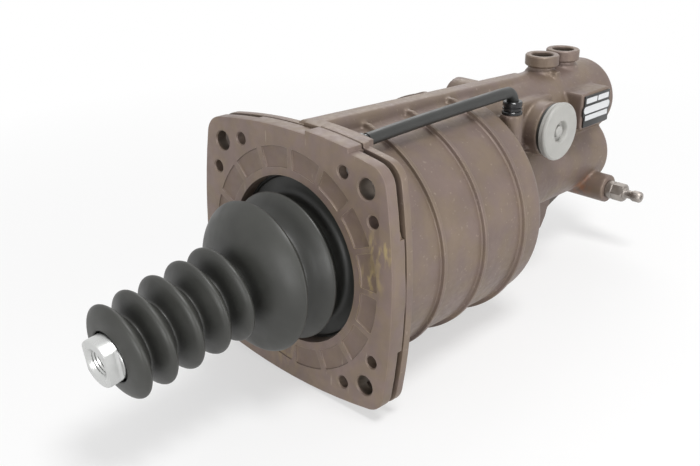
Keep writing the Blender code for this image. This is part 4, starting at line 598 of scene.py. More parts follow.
def flange_outline(corner_steps=8):
    """Square with four bowed sides, rounded corners and a tab on its top side, as (Y, Z) points."""
    sunk = FLANGE_BOW - FLANGE_REACH
    centre = (math.sqrt(2 * (FLANGE_BOW - FLANGE_CORNER) ** 2 - sunk ** 2) - sunk) / 2
    meet = math.atan2(centre, centre + sunk)
    reach = FLANGE_BOW * math.sin(meet)
    corner = []
    for step in range(1, corner_steps):
        angle = meet + (math.pi / 2 - 2 * meet) * step / corner_steps
        corner.append((centre + FLANGE_CORNER * math.sin(angle), centre + FLANGE_CORNER * math.cos(angle)))
    outline = bowed(-reach, TAB_SPAN[0]) + bowed(*TAB_SPAN, TAB_RISE) + bowed(TAB_SPAN[1], reach) + corner
    side = bowed(-reach, reach) + corner
    for _ in range(3):
        side = [(z, -y) for y, z in side]
        outline += side
    return outline


def flange_blank(name, start, end, edge):
    return soften(slab(name, flange_outline(), start, end, across=0), edge)


def nozzle_tab(edge):
    """Tab of the casting that carries the nozzle; it runs into the ridge."""
    first = TAB_SPAN[0] + 2 * MM
    outline = [(0.0, TAB_BASE), (first, TAB_BASE)] + bowed(first, 0.0, TAB_RISE - 0.4 * MM)
    return soften(slab("nozzle_tab", outline, 10.6 * MM, 20.5 * MM, across=0), edge)


def barrel_profile():
    """Outside of the barrel with its rounded rear end, as (radius, station)."""
    points = scaled([(0, 12), (71, 12), (71, 14.5), (66.5, 18)])
    corner, centre = 4.6 * MM, 136.4 * MM
    for step in range(7):
        angle = math.radians(75) * step / 6
        points.append((BARREL_RADIUS - corner + corner * math.cos(angle), centre + corner * math.sin(angle)))
    return points + scaled([(48, 142.6), (27, 147), (0, 147)])


def barrel_rib(name, station):
    """Crisp rib round the barrel, with a small hollow fillet at each foot."""
    high, half = sizes().rib_height, sizes().rib_width / 2
    side = [(-0.3 * MM, half + 1.6 * MM), (0.25 * MM, half + 0.7 * MM), (0.3 * high, half + 0.2 * MM),
            (high - 0.45 * MM, half), (high - 0.1 * MM, half - 0.15 * MM), (high, half - 0.5 * MM)]
    outline = [(-6 * MM, -half - 1.6 * MM)] + [(rise, -away) for rise, away in side]
    outline += [(rise, away) for rise, away in reversed(side)] + [(-6 * MM, half + 1.6 * MM)]
    outline.append(outline[0])
    return turned(name, [(BARREL_RADIUS + rise, station + away) for rise, away in outline], steps=AROUND)


def ridge_block():
    """Tapered ridge over the air duct, from the flange to the valve cylinder."""
    ridge = block("ridge", *scaled([(12, -12, 52), (205, 12, 75)]))
    pick(ridge, "VERT", lambda vert: vert.co.z > 60 * MM)
    bpy.ops.transform.resize(value=(1, 0.5, 1))
    bpy.ops.object.mode_set(mode="OBJECT")
    pick(ridge, "VERT", lambda vert: vert.co.z > 60 * MM and vert.co.x > 100 * MM)
    bpy.ops.transform.translate(value=(0, 0, -7.6 * MM))
    bpy.ops.object.mode_set(mode="OBJECT")
    bevel_edges(ridge, lambda edge: min(co.z for co in ends(ridge, edge)) > 60 * MM, 2.2 * MM, 3)
    return ridge


def gusset(name, station):
    """Rib crest that climbs the ridge's sides."""
    outline = scaled([(-25, 60), (25, 60), (21, 65.3), (11.5, 69), (-11.5, 69), (-21, 65.3)])
    return slab(name, outline, station - 1.7 * MM, station + 1.7 * MM, across=0)


def rough_casting():
    """Everything that was cast in one piece, as overlapping solids."""
    solids = [turned("barrel", barrel_profile(), steps=AROUND),
              ridge_block(),
              *[gusset(f"gusset_{index}", station) for index, station in enumerate(RIB_STATIONS)],
              bar("hydraulic", 27 * MM, 138 * MM, 281 * MM, edge=2.6 * MM),
              bar("valve", VALVE_RADIUS, 136 * MM, 282 * MM, VALVE_AXIS, edge=3 * MM)]
    web = [(138, -16), (138, -60), (222, -55), (237, -50), (242, -42), (243.5, -36), (266, -27.5), (266, -16)]
    solids.append(slab("web", scaled(web), -4 * MM, 4 * MM))
    for station in PORT_STATIONS:
        solids.append(bar("port_neck", 8.8 * MM, 40 * MM, 71 * MM, (station, 0, 0), UPRIGHT))
        solids.append(bar("port_ring", 10.6 * MM, 50 * MM, 66.6 * MM, (station, 0, 0), UPRIGHT, 1 * MM))
    solids += [block("port_pad", *scaled([(224, -13.6, 54), (230, -6, 67)]), 0.6 * MM),
               block("port_step", *scaled([(225, -16, 52), (229, -6, 62)]), 0.6 * MM),
               block("vent_root", VENT_AXIS + Vector((-18.6, -26, -13)) * MM,
                     VENT_AXIS + Vector((15, -4, 18.4)) * MM, 1.8 * MM),
               bar("vent_lug", 2.6 * MM, 18 * MM, 29 * MM, (175 * MM, 0, 31.5 * MM), ALONG_MINUS_Y, 1 * MM),
               bar("vent_boss", 17.2 * MM, 5 * MM, 36 * MM, VENT_AXIS, ALONG_MINUS_Y, 0.6 * MM),
               block("vent_shoulder", *scaled([(158, -24, 34), (187, -8, 57)]), 3 * MM),
               bar("far_boss", 14 * MM, -5 * MM, -33 * MM, (178 * MM, 0, 50 * MM), ALONG_MINUS_Y),
               bar("socket_boss", 6.8 * MM, 30 * MM, 57.2 * MM, (SOCKET_X, TUBE_Y, 0), UPRIGHT, 0.5 * MM),
               block("socket_back", *scaled([(145.5, -30, 33), (159.5, -12, 54)]), 2 * MM),
               block("name_pad", *scaled([(223.5, -35.5, 32), (257.5, -8, 56)]), 1.2 * MM),
               bar("bleed_boss", 9.7 * MM, 2 * MM, 38.5 * MM, BLEED_AXIS, ALONG_MINUS_Y, 0.5 * MM)]
    return together("casting", *solids)


def flange_drills(start, end, lead=0.0):
    """Drills for the corner holes and the eight smaller holes, with a lead-in at the start."""
    drills = []
    places = []
    for wide, high, radius in ((CORNER_HALF, CORNER_HALF, CORNER_HOLE), (TAP_NARROW, TAP_WIDE, TAP_HOLE),
                               (TAP_WIDE, TAP_NARROW, TAP_HOLE)):
        places += [(y, z, radius) for y in (-wide, wide) for z in (-high, high)]
    for y, z, radius in places:
        profile = [(0, start - MM), (radius, start - MM)]
        if lead:
            profile = [(0, start - MM), (radius + lead + MM, start - MM), (radius, start + lead)]
        drills.append(turned("drill", profile + [(radius, end), (0, end)], (0, y, z), steps=48))
    return drills


def casting_bores():
    """Bores, ports and drilled passages of the casting, as closed cutters."""
    def groove(radius):
        """Open end of a bore with its circlip groove."""
        wide = radius + 1
        return [(0, 129), (radius, 129), (radius, 131.5), (wide, 131.5), (wide, 133.3), (radius, 133.3)]

    cavity = [(0, 5), (61.2, 5), (61.2, 10.3), (60, 12.7), (60, 127), (59, 129.2), (57, 130), (0, 130)]
    gland = groove(20) + [(20, 148), (15, 148), (15, 263), (0, 268)]
    valve = groove(15) + [(15, 178), (14, 178), (14, 217), (12, 217), (12, 240), (0, 240)]
    vent = [(0, -8), (6, -8), (6, 24), (14, 24), (14, 37), (0, 37)]
    bleed = [(0, 5), (1.3, 5), (1.3, 16.5), (4.5, 19.5), (4.5, 39.5), (0, 39.5)]
    return [turned("cavity", scaled(cavity), steps=AROUND), turned("gland_bore", scaled(gland)),
            turned("valve_bore", scaled(valve), VALVE_AXIS),
            turned("vent_bore", scaled(vent), VENT_AXIS, ALONG_MINUS_Y),
            turned("bleed_bore", scaled(bleed), BLEED_AXIS, ALONG_MINUS_Y, 48),
            bar("tube_socket", 4.3 * MM, 45 * MM, 58 * MM, (SOCKET_X, TUBE_Y, 0), UPRIGHT, steps=32),
            bar("duct", 2.5 * MM, 120 * MM, 208 * MM, (0, 12 * MM, 55 * MM), steps=24),
            bar("nozzle_bore", 3 * MM, 15.5 * MM, 21.5 * MM, (0, TUBE_Y, NOZZLE_Z), steps=32)]


def port_collar(name, station):
    """Crisp turned collar on its neck."""
    profile = scaled([(0, 62), (8.6, 62), (8.6, 68.4), (9.6, 69.4), (10.6, 69.6), (11.2, 70.2)])
    profile += [(11.2 * MM, PORT_TOP - 0.7 * MM), (10.6 * MM, PORT_TOP), (0, PORT_TOP)]
    return turned(name, profile, (station, 0, 0), UPRIGHT)


def port_bore(name, station, bottom):
    profile = [(0, bottom), (3 * MM, bottom), *scaled([(3, 59.6), (7.2, 59.6)]),
               (7.2 * MM, PORT_TOP - 0.6 * MM), (7.8 * MM, PORT_TOP), (7.8 * MM, PORT_TOP + MM),
               (0, PORT_TOP + MM)]
    return turned(name, profile, (station, 0, 0), UPRIGHT, 64)


def build_casting():
    share = 0.42
    voxel = sizes().melt_voxel * 1.0
    casting = melt(rough_casting(), voxel, 4, share)
    combine(casting, flange_blank("barrel_flange", FLANGE_FRONT, FLANGE_BACK, 0.35 * MM),
            nozzle_tab(0.4 * MM), bar("contact_ring", 72.8 * MM, 10.3 * MM, 13 * MM, steps=AROUND),
            *[barrel_rib(f"rib_{index}", station) for index, station in enumerate(RIB_STATIONS)],
            operation="UNION")
    for index, station in enumerate(PORT_STATIONS):
        combine(casting, port_collar(f"collar_{index}", station), operation="UNION")
    combine(casting, *casting_bores())
    for index, (station, bottom) in enumerate(zip(PORT_STATIONS, (40 * MM, 0.0))):
        combine(casting, port_bore(f"port_bore_{index}", station, bottom))
    combine(casting, together("drills", *flange_drills(9 * MM, 20.5 * MM)))
    seats = [bar("spot_face", 7.2 * MM, FLANGE_BACK, FLANGE_BACK + 12 * MM, (0, y, z), steps=48)
             for y in (-TAP_NARROW, TAP_NARROW) for z in (-TAP_WIDE, TAP_WIDE)]
    combine(casting, together("spot_faces", *seats))
    dress(casting, "housing", "anodised_alloy", casting_finish(), "cylinder_housing")


# Front plate


def pocket(index, count, depth):
    """Shallow pocket between two ribs of the plate's face, with sloping walls."""
    middle = 2 * math.pi * (index + 0.5) / count
    half = math.pi / count
    outline = []
    for radius, arc_half, steps in ((51.6 * MM, half - 0.030, 4), (63.2 * MM, half - 0.026, 4)):
        angles = [middle - arc_half + 2 * arc_half * step / steps for step in range(steps + 1)]
        if outline:
            angles.reverse()
        outline += [(radius * math.sin(angle), radius * math.cos(angle)) for angle in angles]
    return slab(f"pocket_{index}", outline, -MM, depth, across=0)


def corner_relief():
    """Cutter for the step behind the plate's corners, outside the round joint face and the tab."""
    front, past, reach = PLATE_BACK - 3.2 * MM, PLATE_BACK + MM, 80 * MM
    relief = block("corner_relief", (front, -reach, -reach), (past, reach, reach))
    joint = bar("joint_face", JOINT_RADIUS, front - MM, past + MM, steps=AROUND)
    sides = [block("joint_side", (front - MM, -SLOT_END, -reach - MM), (past + MM, SLOT_END, reach + MM)),
             block("joint_end", (front - MM, -reach - MM, -SLOT_END), (past + MM, reach + MM, SLOT_END))]
    tab = block("tab_back", (front - MM, TAB_SPAN[0] - MM, TAB_BASE),
                (past + MM, TAB_SPAN[1] + MM, reach + MM))
    return combine(relief, joint, tab, *sides)


def build_plate():
    plate = flange_blank("front_plate_skin", 0.0, PLATE_BACK, sizes().plate_edge)
    combine(plate, corner_relief())
    spigot = [(0, 9), (59.7, 9), (59.7, 13.7), (59.1, 14.3), (0, 14.3)]
    combine(plate, turned("spigot", scaled(spigot), steps=AROUND), operation="UNION")
    bore = [(0, -1), (47.9, -1), (46.7, 1.2), (46.7, 7), (53, 7), (53, 16), (0, 16)]
    groove = [(63.2, 11), (67.2, 11), (67.2, 7.6), (63.2, 7.6), (63.2, 11)]
    combine(plate, turned("plate_bore", scaled(bore), steps=AROUND),
            turned("seal_groove", scaled(groove), steps=AROUND))
    combine(plate, together("plate_drills", *flange_drills(0.0, 11 * MM, sizes().hole_lead)))
    count = sizes().pocket_count
    pockets = together("pockets", *[pocket(index, count, sizes().pocket_depth) for index in range(count)])
    combine(plate, soften(pockets, 1.1 * MM, sharp=40))
    dress(plate, "housing", "anodised_alloy", plate_finish(), "front_plate")


# Boot


def droop(obj):
    """Tilt the boot's narrow end with the hanging rod; its wide end stays straight."""
    start, end = -28 * MM, -43 * MM
    sag_place, sag_reach = -16 * MM, 18 * MM
    for vert in obj.data.vertices:
        share = min(max((vert.co.x - start) / (end - start), 0.0), 1.0)
        angle = -DROOP * share * share * (3 - 2 * share)
        x = vert.co.x - BALL.x
        z = vert.co.z
        sag = sizes().boot_sag * math.exp(-((vert.co.x - sag_place) / sag_reach) ** 2)
        vert.co.x = BALL.x + x * math.cos(angle) + z * math.sin(angle)
        vert.co.z = -x * math.sin(angle) + z * math.cos(angle) - sag
    obj.data.update()


def bellows(name, profile):
    """Rubber skin of even wall, turned from the outer profile."""
    skin = turned(name, profile, steps=128)
    face_out(skin)
    middle = [face for face in skin.data.polygons if face.center.yz.length > 0]
    outward = sum(face.normal.yz.dot(face.center.yz.normalized()) * face.area for face in middle)
    if outward < 0:
        pick(skin, "FACE", lambda face: True)
        bpy.ops.mesh.flip_normals()
        bpy.ops.object.mode_set(mode="OBJECT")
    apply_modifier(skin, "SOLIDIFY", thickness=sizes().boot_wall, offset=-1, use_even_offset=True)
    return skin


def sleeve_profile():
    """Five rounded folds between the mouth and the neck, as (radius, station)."""
    crests = [(24.9, -110.8), (25.3, -96.2), (25.5, -80.5), (25.8, -64.4), (26.2, -49.5)]
    points = [(13.7, -115.9), (16.6, -115.4)]
    for index, (radius, station) in enumerate(crests):
        points += [(radius - 4.4, station - 3.6), (radius - 1.0, station - 1.7), (radius, station),
                   (radius - 1.0, station + 1.7), (radius - 4.4, station + 3.6)]
        if index + 1 < len(crests):
            valley = (station + crests[index + 1][1]) / 2
            points += [(16.6, valley - 1.5), (15.3, valley), (16.6, valley + 1.5)]
    points += [(17.8, -44.0), (16.2, -42.4)]
    return smooth_profile(scaled(points), 3)


def cone_profile():
    """Cone, its rounded crest, the second fold and the way into the plate's bore."""
    points = [(14.8, -46.5), (15.2, -43.0), (17.0, -40.8), (22.5, -38.4), (29.0, -36.0), (34.8, -33.2),
              (38.7, -30.2), (40.9, -27.6), (40.9, -26.1), (37.8, -23.4), (33.2, -20.6), (30.9, -18.2),
              (30.9, -16.4), (34.0, -12.6), (38.8, -9.3), (40.9, -7.4), (40.6, -5.8), (37.8, -3.2),
              (35.2, -0.8), (34.8, 2.0), (35.4, 5.0), (37.4, 6.7), (41.0, 7.2), (45.9, 7.3)]
    return smooth_profile(scaled(points), 4)


def build_boot():
    rubber = rubber_finish("moulded_rubber", looks().rubber, 0.44)
    sleeve = bellows("boot_sleeve", sleeve_profile())
    droop(sleeve)
    dress(sleeve, "rod", "rubber", rubber, angle=0)
    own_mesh(sleeve)
    cone = bellows("boot_cone", cone_profile())
    droop(cone)
    dress(cone, "housing", "rubber", rubber, "boot", angle=0)
    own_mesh(cone)
    rim = [(45.0, 7.4), (52.6, 7.4), (52.6, 9.9), (45.0, 9.9), (45.0, 7.4)]
    dress(turned("boot_rim", scaled(rim), steps=128), "housing", "rubber", rubber)


# Rod end


def build_rod_end():
    start, face, edge = 74.3 * MM, 98.5 * MM, 0.9 * MM
    radius, hole, floor = 12.5 * MM, 7 * MM, 86.3 * MM
    profile = [(6.3 * MM, start), (radius - edge, start), (radius - 0.3 * edge, start + 0.3 * edge),
               (radius, start + edge), (radius, face - edge), (radius - 0.3 * edge, face - 0.3 * edge),
               (radius - edge, face), (hole + 1.3 * MM, face)]
    pitch = sizes().thread_pitch
    station = face - 1.1 * MM
    while station > floor + pitch:
        profile += [(hole + 0.25 * MM, station), (hole - 0.6 * MM, station - pitch / 2)]
        station -= pitch
    profile += [(hole - 0.6 * MM, floor), (6.3 * MM, floor), (6.3 * MM, start)]
    end = turned("rod_end_nut", profile, BALL, ALONG_ROD, 96)
    flats = []
    for side in (-1, 1):
        flat = block("flat", (-14 * MM, 9.5 * MM, face - 7 * MM), (14 * MM, 15 * MM, face + 2 * MM))
        bevel_edges(flat, lambda edge: all(co.z < 95 * MM and co.y < 10 * MM for co in ends(flat, edge)),
                    1.6 * MM, 5)
        turn = Matrix((ALONG_ROD[1], Vector((0, side, 0)), ALONG_ROD[0])).transposed().to_4x4()
        flat.matrix_world = Matrix.Translation(BALL) @ turn
        apply_place(flat)
        face_out(flat)
        flats.append(flat)
    soften(combine(end, *flats), 0.35 * MM, 2, 38)
    dress(end, "rod", "zinc_plate", metal_finish("bright_zinc", looks().zinc, 0.3, 0.05, 0.02), "rod_end")


# Vent tube and its fittings


def build_tube():
    start = Vector((25.8 * MM, TUBE_Y, NOZZLE_Z))
    bend, high = 7 * MM, 71.0 * MM
    route = ((30, 2.1), (38, 1.8), (50, 1.4), (70, 0.9), (95, 0.5), (120, 0.2), (138, 0.0))
    points = [start] + [Vector((x * MM, TUBE_Y, high - drop * MM)) for x, drop in route]
    for step in range(1, 7):
        angle = math.pi / 2 * (1 - step / 6)
        points.append(Vector((SOCKET_X - bend + bend * math.cos(angle), TUBE_Y,
                              high - bend + bend * math.sin(angle))))
    points.append(Vector((SOCKET_X, TUBE_Y, 63.1 * MM)))
    deselect()
    bpy.ops.curve.primitive_nurbs_path_add()
    path = bpy.context.object
    path.data.splines.clear()
    spline = path.data.splines.new("POLY")
    spline.points.add(len(points) - 1)
    for knot, point in zip(spline.points, points):
        knot.co = (*point, 1.0)
    path.data.dimensions = "3D"
    path.data.bevel_depth = TUBE_RADIUS
    path.data.bevel_resolution = 8
    path.data.use_fill_caps = True
    path.location = (0, 0, 0)
    choose(path)
    bpy.ops.object.convert(target="MESH")
    tube = apply_place(bpy.context.object)
    tube.name = "vent_hose"
    dress(tube, "housing", "hose", rubber_finish("smooth_hose", looks().hose, 0.42), "vent_tube", angle=50)
    black = plastic_finish("glossy_black", looks().black, 0.2)
    nozzle = [(1.8, 20.3), (2.7, 20.3), (2.7, 20.8), (4.4, 20.8), (4.4, 22.3), (4.1, 22.6), (3.2, 22.8),
              (3.2, 25.5), (1.8, 25.5), (1.8, 20.3)]
    nozzle = turned("nozzle", scaled(nozzle), (0, TUBE_Y, NOZZLE_Z), steps=48)
    dress(nozzle, "housing", "black_plastic", black, "tube_nozzle")
    grommet = [(1.8, 53.8), (4.0, 53.8), (4.0, 57.3), (6.2, 57.3), (6.2, 58.6), (5.8, 59.0), (4.9, 59.2),
               (4.9, 60.0), (5.9, 60.2), (5.9, 61.2), (5.2, 61.5), (5.2, 62.2), (5.9, 62.5), (5.9, 64.4),
               (5.4, 65.0), (3.8, 65.0), (3.8, 62.8), (1.8, 62.8), (1.8, 53.8)]
    grommet = turned("grommet", scaled(grommet), (SOCKET_X, TUBE_Y, 0), UPRIGHT, 64)
    dress(grommet, "housing", "black_plastic", black, "tube_grommet")


# Vent cap


def build_cap():
    back, face = 38.2, 43.4
    radius, recess = 18.4, sizes().cap_recess / MM
    profile = [(0, back), (11.7, back), (11.7, 30), (13.7, 30), (13.7, back), (17.3, back),
               (17.7, back + 0.3), (17.7, back + 1.7), (17.3, back + 2.1), (17.3, back + 2.5),
               (18.1, back + 2.7), (radius, back + 3.1), (radius, face - 1.2), (radius - 0.35, face - 0.5),
               (radius - 1.1, face), (recess + 0.9, face), (recess + 0.3, face - 0.4), (recess, face - 1.2),
               (recess - 0.4, face - 3.2), (4.1, face - 3.2), (3.7, face - 1.6), (2.9, face - 0.9),
               (1.5, face - 0.6), (0, face - 0.5)]
    cap = turned("cap", scaled(profile), VENT_AXIS, ALONG_MINUS_Y, 128)
    dress(cap, "housing", "cap_plastic", plastic_finish("pale_cap", looks().cap, 0.42, 0.015), "vent_cap")
    seal = [(14.6, 36.3), (16.8, 36.3), (16.8, 37.9), (14.6, 37.9), (14.6, 36.3)]
    seal = turned("cap_seal", scaled(seal), VENT_AXIS, ALONG_MINUS_Y, 96)
    dress(seal, "housing", "rubber", rubber_finish("seal_rubber", looks().rubber, 0.5), "vent_seal")


# Name plate


def build_name_plate():
    centre = Vector((240.5 * MM, -35.8 * MM, 44 * MM))

    def shaped(name, outline, low, high):
        return slab(name, [(centre.x + x * MM, centre.z + z * MM) for x, z in outline],
                    centre.y - high * MM, centre.y - low * MM)

    def field(name, left, right, bottom, top, corner=0.5):
        outline = []
        for x, z, start in ((right - corner, top - corner, 0), (left + corner, top - corner, 90),
                            (left + corner, bottom + corner, 180), (right - corner, bottom + corner, 270)):
            for step in range(4):
                angle = math.radians(start + 30 * step)
                outline.append((x + corner * math.cos(angle), z + corner * math.sin(angle)))
        return shaped(name, outline, 0.7, 0.86)

    half_wide, half_high, bulge, lobe = 15, 10.5, 1.7, 3.6
    arcs = []
    for side in (1, -1):
        for step in range(9):
            angle = math.radians(90 - 22.5 * step)
            arcs.append((side * (half_wide + bulge * math.cos(angle)), side * lobe * math.sin(angle)))
    outline = [(-half_wide, half_high), (half_wide, half_high), *arcs[:9], (half_wide, -half_high),
               (-half_wide, -half_high), *arcs[9:]]
    plate = soften(shaped("label_plate", outline, 0.0, 0.8), 0.15 * MM, 2, 30)
    black = Finish("plate_black", looks().label_black, 0.35)
    black.bump((900, 0.02))
    dress(plate, "housing", "plate_black", black.material, "name_plate")
    fields = together("plate_fields", field("field_a", -13.6, -0.6, 5.4, 9.0),
                      field("field_b", 0.6, 13.6, 5.4, 9.0), field("field_c", -15.6, 15.6, -1.4, 3.6, 2.2),
                      field("field_d", -13.6, 13.6, -6.0, -2.6))
    white = Finish("plate_fields", looks().label_white, 0.32)
    white.bump((700, 0.02))
    dress(fields, "housing", "plate_black", white.material)


# Bleed screw and fasteners


def build_bleed_screw():
    profile = [(0, 22.5), (2.5, 22.5), (4.2, 25.5), (4.2, 38.8), (6.2, 38.8), (6.2, 42.9), (5.8, 43.3),
               (4.4, 43.4), (4.4, 52.0), (2.9, 52.6), (2.9, 56.6), (3.3, 57.0), (3.8, 58.2), (3.8, 62.6),
               (3.3, 63.6), (2.8, 63.8), (1.3, 63.8), (1.3, 53.8), (0, 53.8)]
    screw = turned("bleed_nipple", scaled(profile), BLEED_AXIS, ALONG_MINUS_Y, 64)
    head = hexagon("bleed_hex", HEX_FLAT, 43.0 * MM, 51.3 * MM, BLEED_AXIS, ALONG_MINUS_Y)
    rounding = scaled([(0, 42), (5.7, 43.0), (6.5, 43.9), (6.5, 50.4), (5.7, 51.3), (0, 52.3)])
    combine(head, turned("hex_rounding", rounding, BLEED_AXIS, ALONG_MINUS_Y, 64), operation="INTERSECT")
    combine(screw, head, operation="UNION")
    soften(screw, 0.2 * MM, 2, 40)
    dress(screw, "housing", "plain_steel", metal_finish("dulled_plating", looks().bleed, 0.42, 0.15, 0.03),
          "bleed_screw")


def build_fasteners():
    zinc = metal_finish("screw_zinc", looks().zinc, 0.34, 0.08)
    profile = [(0, 5), (2.5, 5), (3.1, 5.8), (3.1, 16), (6.2, 16), (6.5, 16.4), (6.5, 21.3), (6.2, 21.8),
               (5.8, 22), (0, 22)]
    places = [(0, y, z) for y in (-TAP_NARROW, TAP_NARROW) for z in (-TAP_WIDE, TAP_WIDE)]
    for index, place in enumerate(places, 1):
        screw = turned(f"socket_screw_{index}", scaled(profile), place, steps=48)
        combine(screw, hexagon("socket", 5 * MM, 18.5 * MM, 23 * MM, place, ALONG_X))
        dress(screw, "housing", "zinc_plate", zinc, f"cover_screw_{index}")
    angle, share_sunk = math.radians(-122), 0.4
    reach = VALVE_RADIUS - share_sunk * BALL_RADIUS
    deselect()
    bpy.ops.mesh.primitive_uv_sphere_add(segments=32, ring_count=16, radius=BALL_RADIUS,
                                         location=(173 * MM, reach * math.sin(angle),
                                                   VALVE_AXIS.z + reach * math.cos(angle)))
    ball = apply_place(bpy.context.object)
    ball.name = "steel_ball"
    dress(ball, "housing", "plain_steel", metal_finish("bright_steel", (0.6, 0.59, 0.57), 0.22), "ball_plug")


# Inner pieces keep their solids and get better finishes


def finish_inner_pieces():
    shown = {
        "machined_alloy": metal_finish("machined_alloy_look", (0.6, 0.6, 0.6), 0.36),
        "plain_steel": metal_finish("oiled_steel_look", (0.36, 0.35, 0.34), 0.3),
        "spring_steel": metal_finish("spring_steel_look", (0.27, 0.27, 0.29), 0.34),
        "zinc_plate": metal_finish("zinc_look", looks().zinc, 0.34),
        "bronze": metal_finish("bronze_look", (0.5, 0.33, 0.15), 0.34),
        "rubber": rubber_finish("inner_rubber_look", looks().rubber, 0.5),
        "nylon": plastic_finish("nylon_look", (0.58, 0.55, 0.47), 0.45),
        "felt": plastic_finish("felt_look", (0.4, 0.38, 0.34), 0.9, 0.15),
    }
    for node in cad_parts.values():
        if node.hide_render:
            continue
        slot = node.data.materials[0].name.split(".")[0]
        if slot in shown:
            node.data.materials[0] = shown[slot]


# Studio


def direct_rays(tree):
    """1 for rays seen by the camera, straight, off a gloss or through glass, and 0 for the rest."""
    rays = tree.nodes.new("ShaderNodeLightPath").outputs
    seen = rays["Is Camera Ray"]
    for kind in ("Is Glossy Ray", "Is Transmission Ray"):
        either = tree.nodes.new("ShaderNodeMath")
        either.operation = "MAXIMUM"
        tree.links.new(seen, either.inputs[0])
        tree.links.new(rays[kind], either.inputs[1])
        seen = either.outputs[0]
    return seen


def build_floor():
    """Pale floor that keeps the shadow near the servo and turns plain white further out."""
    deselect()
    bpy.ops.mesh.primitive_plane_add(size=sizes().floor_size, location=FLOOR_PLACE,
                                     rotation=(0, -FLOOR_SLOPE, 0))
    floor = bpy.context.object
    floor.name = "studio_floor"
    finish = Finish("studio_floor", looks().floor, 0.9)
    finish.set(**{"Specular IOR Level": 0.0})
    white = finish.node("ShaderNodeEmission", {"Color": (1, 1, 1, 1), "Strength": 1.0})
    far = finish.node("ShaderNodeVectorMath", {0: finish.place, 1: (0.05, 0, 0)}, operation="DISTANCE")
    far = finish.between(far.outputs["Value"], 0.22, 0.6, 0.55, 1.0)
    share = finish.times(direct_rays(finish.tree), far)
    blend = finish.node("ShaderNodeMixShader", {0: share, 1: finish.shader.outputs[0], 2: white.outputs[0]})
    finish.feed(finish.tree.nodes["Material Output"].inputs["Surface"], blend.outputs[0])
    floor.data.materials.append(finish.material)
    return floor


def build_world():
    """White background; what falls on the pieces from around is dimmer than what the camera sees."""
    world = bpy.data.worlds.new("studio_world")
    bpy.context.scene.world = world
    world.use_nodes = True
    tree = world.node_tree
    ambient = tree.nodes["Background"]
    ambient.inputs["Color"].default_value = (1, 1, 1, 1)
    level = tree.nodes.new("ShaderNodeMapRange")
    level.inputs["To Min"].default_value = AMBIENT
    level.inputs["To Max"].default_value = 1.0
    tree.links.new(direct_rays(tree), level.inputs["Value"])
    tree.links.new(level.outputs["Result"], ambient.inputs["Strength"])


def build_studio():
    floor = build_floor()
    build_world()
    for name, place, size, power in LAMPS:
        direction = Vector(LAMP_TARGET) - Vector(place)
        bpy.ops.object.light_add(type="AREA", location=place,
                                 rotation=direction.to_track_quat("-Z", "Y").to_euler())
        lamp = bpy.context.object
        lamp.name = name
        lamp.data.shape = "DISK"
        lamp.data.size = size
        lamp.data.energy = power

    bpy.ops.object.camera_add()
    camera = bpy.context.object
    camera.name = "photo_camera"
    look = Vector(CAMERA_LOOK).normalized()
    right = look.cross(Vector(CAMERA_UP)).normalized()
    up = right.cross(look)
    camera.matrix_world = (Matrix.Translation(CAMERA_PLACE)
                           @ Matrix((right, up, -look)).transposed().to_4x4())
    camera.data.lens = CAMERA_LENS
    camera.data.sensor_width = SENSOR_WIDTH
    camera.data.dof.use_dof = False
    scene = bpy.context.scene
    scene.camera = camera
    scene.view_settings.view_transform = "Standard"


# Operators and panel


class SERVO_OT_casting(bpy.types.Operator):
    """Melt and bore the brown casting"""
    bl_idname = "servo.casting"
    bl_label = "Casting"

    def execute(self, context):
        build_casting()
        return {"FINISHED"}


class SERVO_OT_plate(bpy.types.Operator):
    """Cut the front plate with its pockets and holes"""
    bl_idname = "servo.plate"
    bl_label = "Front Plate"

    def execute(self, context):
        build_plate()
        return {"FINISHED"}


class SERVO_OT_boot(bpy.types.Operator):
    """Mould the rubber bellows: sleeve, cone and rim"""
    bl_idname = "servo.boot"
    bl_label = "Boot"

    def execute(self, context):
        build_boot()
        return {"FINISHED"}


class SERVO_OT_rod_end(bpy.types.Operator):
    """Turn the threaded rod end and mill its flats"""
    bl_idname = "servo.rod_end"
    bl_label = "Rod End"

    def execute(self, context):
        build_rod_end()
        return {"FINISHED"}


class SERVO_OT_tube(bpy.types.Operator):
    """Lay the vent tube between its nozzle and its grommet"""
    bl_idname = "servo.tube"
    bl_label = "Vent Tube"

    def execute(self, context):
        build_tube()
        return {"FINISHED"}


class SERVO_OT_cap(bpy.types.Operator):
    """Turn the vent cap and its seal"""
    bl_idname = "servo.cap"
    bl_label = "Vent Cap"

    def execute(self, context):
        build_cap()
        return {"FINISHED"}


class SERVO_OT_name_plate(bpy.types.Operator):
    """Set the bare name plate with its blank fields"""
    bl_idname = "servo.name_plate"
    bl_label = "Name Plate"

    def execute(self, context):
        build_name_plate()
        return {"FINISHED"}


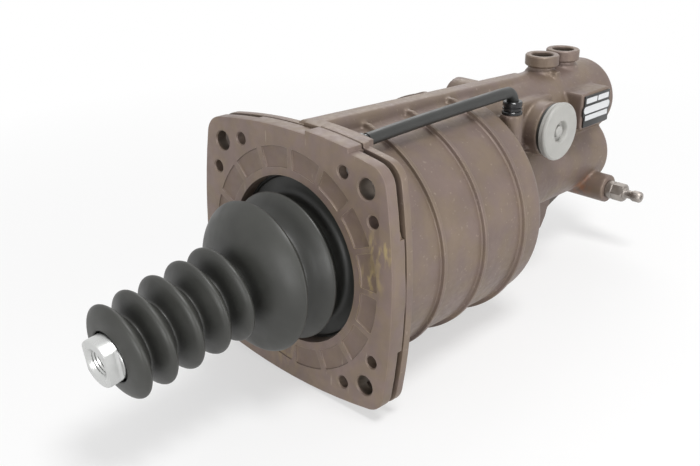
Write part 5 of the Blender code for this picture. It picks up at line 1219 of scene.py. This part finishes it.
class SERVO_OT_bleed_screw(bpy.types.Operator):
    """Turn the bleed screw"""
    bl_idname = "servo.bleed_screw"
    bl_label = "Bleed Screw"

    def execute(self, context):
        build_bleed_screw()
        return {"FINISHED"}


class SERVO_OT_fasteners(bpy.types.Operator):
    """Set the cover screws and the ball plug"""
    bl_idname = "servo.fasteners"
    bl_label = "Fasteners"

    def execute(self, context):
        build_fasteners()
        return {"FINISHED"}


class SERVO_OT_inner(bpy.types.Operator):
    """Give the inner pieces their finishes"""
    bl_idname = "servo.inner"
    bl_label = "Inner Pieces"

    def execute(self, context):
        finish_inner_pieces()
        return {"FINISHED"}


class SERVO_OT_studio(bpy.types.Operator):
    """Lay the floor, hang the lamps and set the camera"""
    bl_idname = "servo.studio"
    bl_label = "Studio"

    def execute(self, context):
        build_studio()
        return {"FINISHED"}


STEPS = (SERVO_OT_casting, SERVO_OT_plate, SERVO_OT_boot, SERVO_OT_rod_end, SERVO_OT_tube, SERVO_OT_cap,
         SERVO_OT_name_plate, SERVO_OT_bleed_screw, SERVO_OT_fasteners, SERVO_OT_inner, SERVO_OT_studio)


class SERVO_PT_panel(bpy.types.Panel):
    """Sizes, colours and building steps of the clutch servo"""
    bl_idname = "SERVO_PT_panel"
    bl_label = "Clutch Servo"
    bl_space_type = "VIEW_3D"
    bl_region_type = "UI"
    bl_category = "Clutch Servo"

    def draw(self, context):
        for group in (context.scene.servo_sizes, context.scene.servo_colours):
            box = self.layout.box()
            for key in group.__annotations__:
                box.prop(group, key)
        for step in STEPS:
            self.layout.operator(step.bl_idname)


CLASSES = (ServoSizes, ServoColours, *STEPS, SERVO_PT_panel)


def register():
    for item in CLASSES:
        bpy.utils.register_class(item)
    bpy.types.Scene.servo_sizes = bpy.props.PointerProperty(type=ServoSizes)
    bpy.types.Scene.servo_colours = bpy.props.PointerProperty(type=ServoColours)


def unregister():
    del bpy.types.Scene.servo_colours
    del bpy.types.Scene.servo_sizes
    for item in reversed(CLASSES):
        bpy.utils.unregister_class(item)


def main():
    register()
    for step in STEPS:
        getattr(bpy.ops.servo, step.bl_idname.split(".")[1])()


if __name__ == "__main__":
    main()
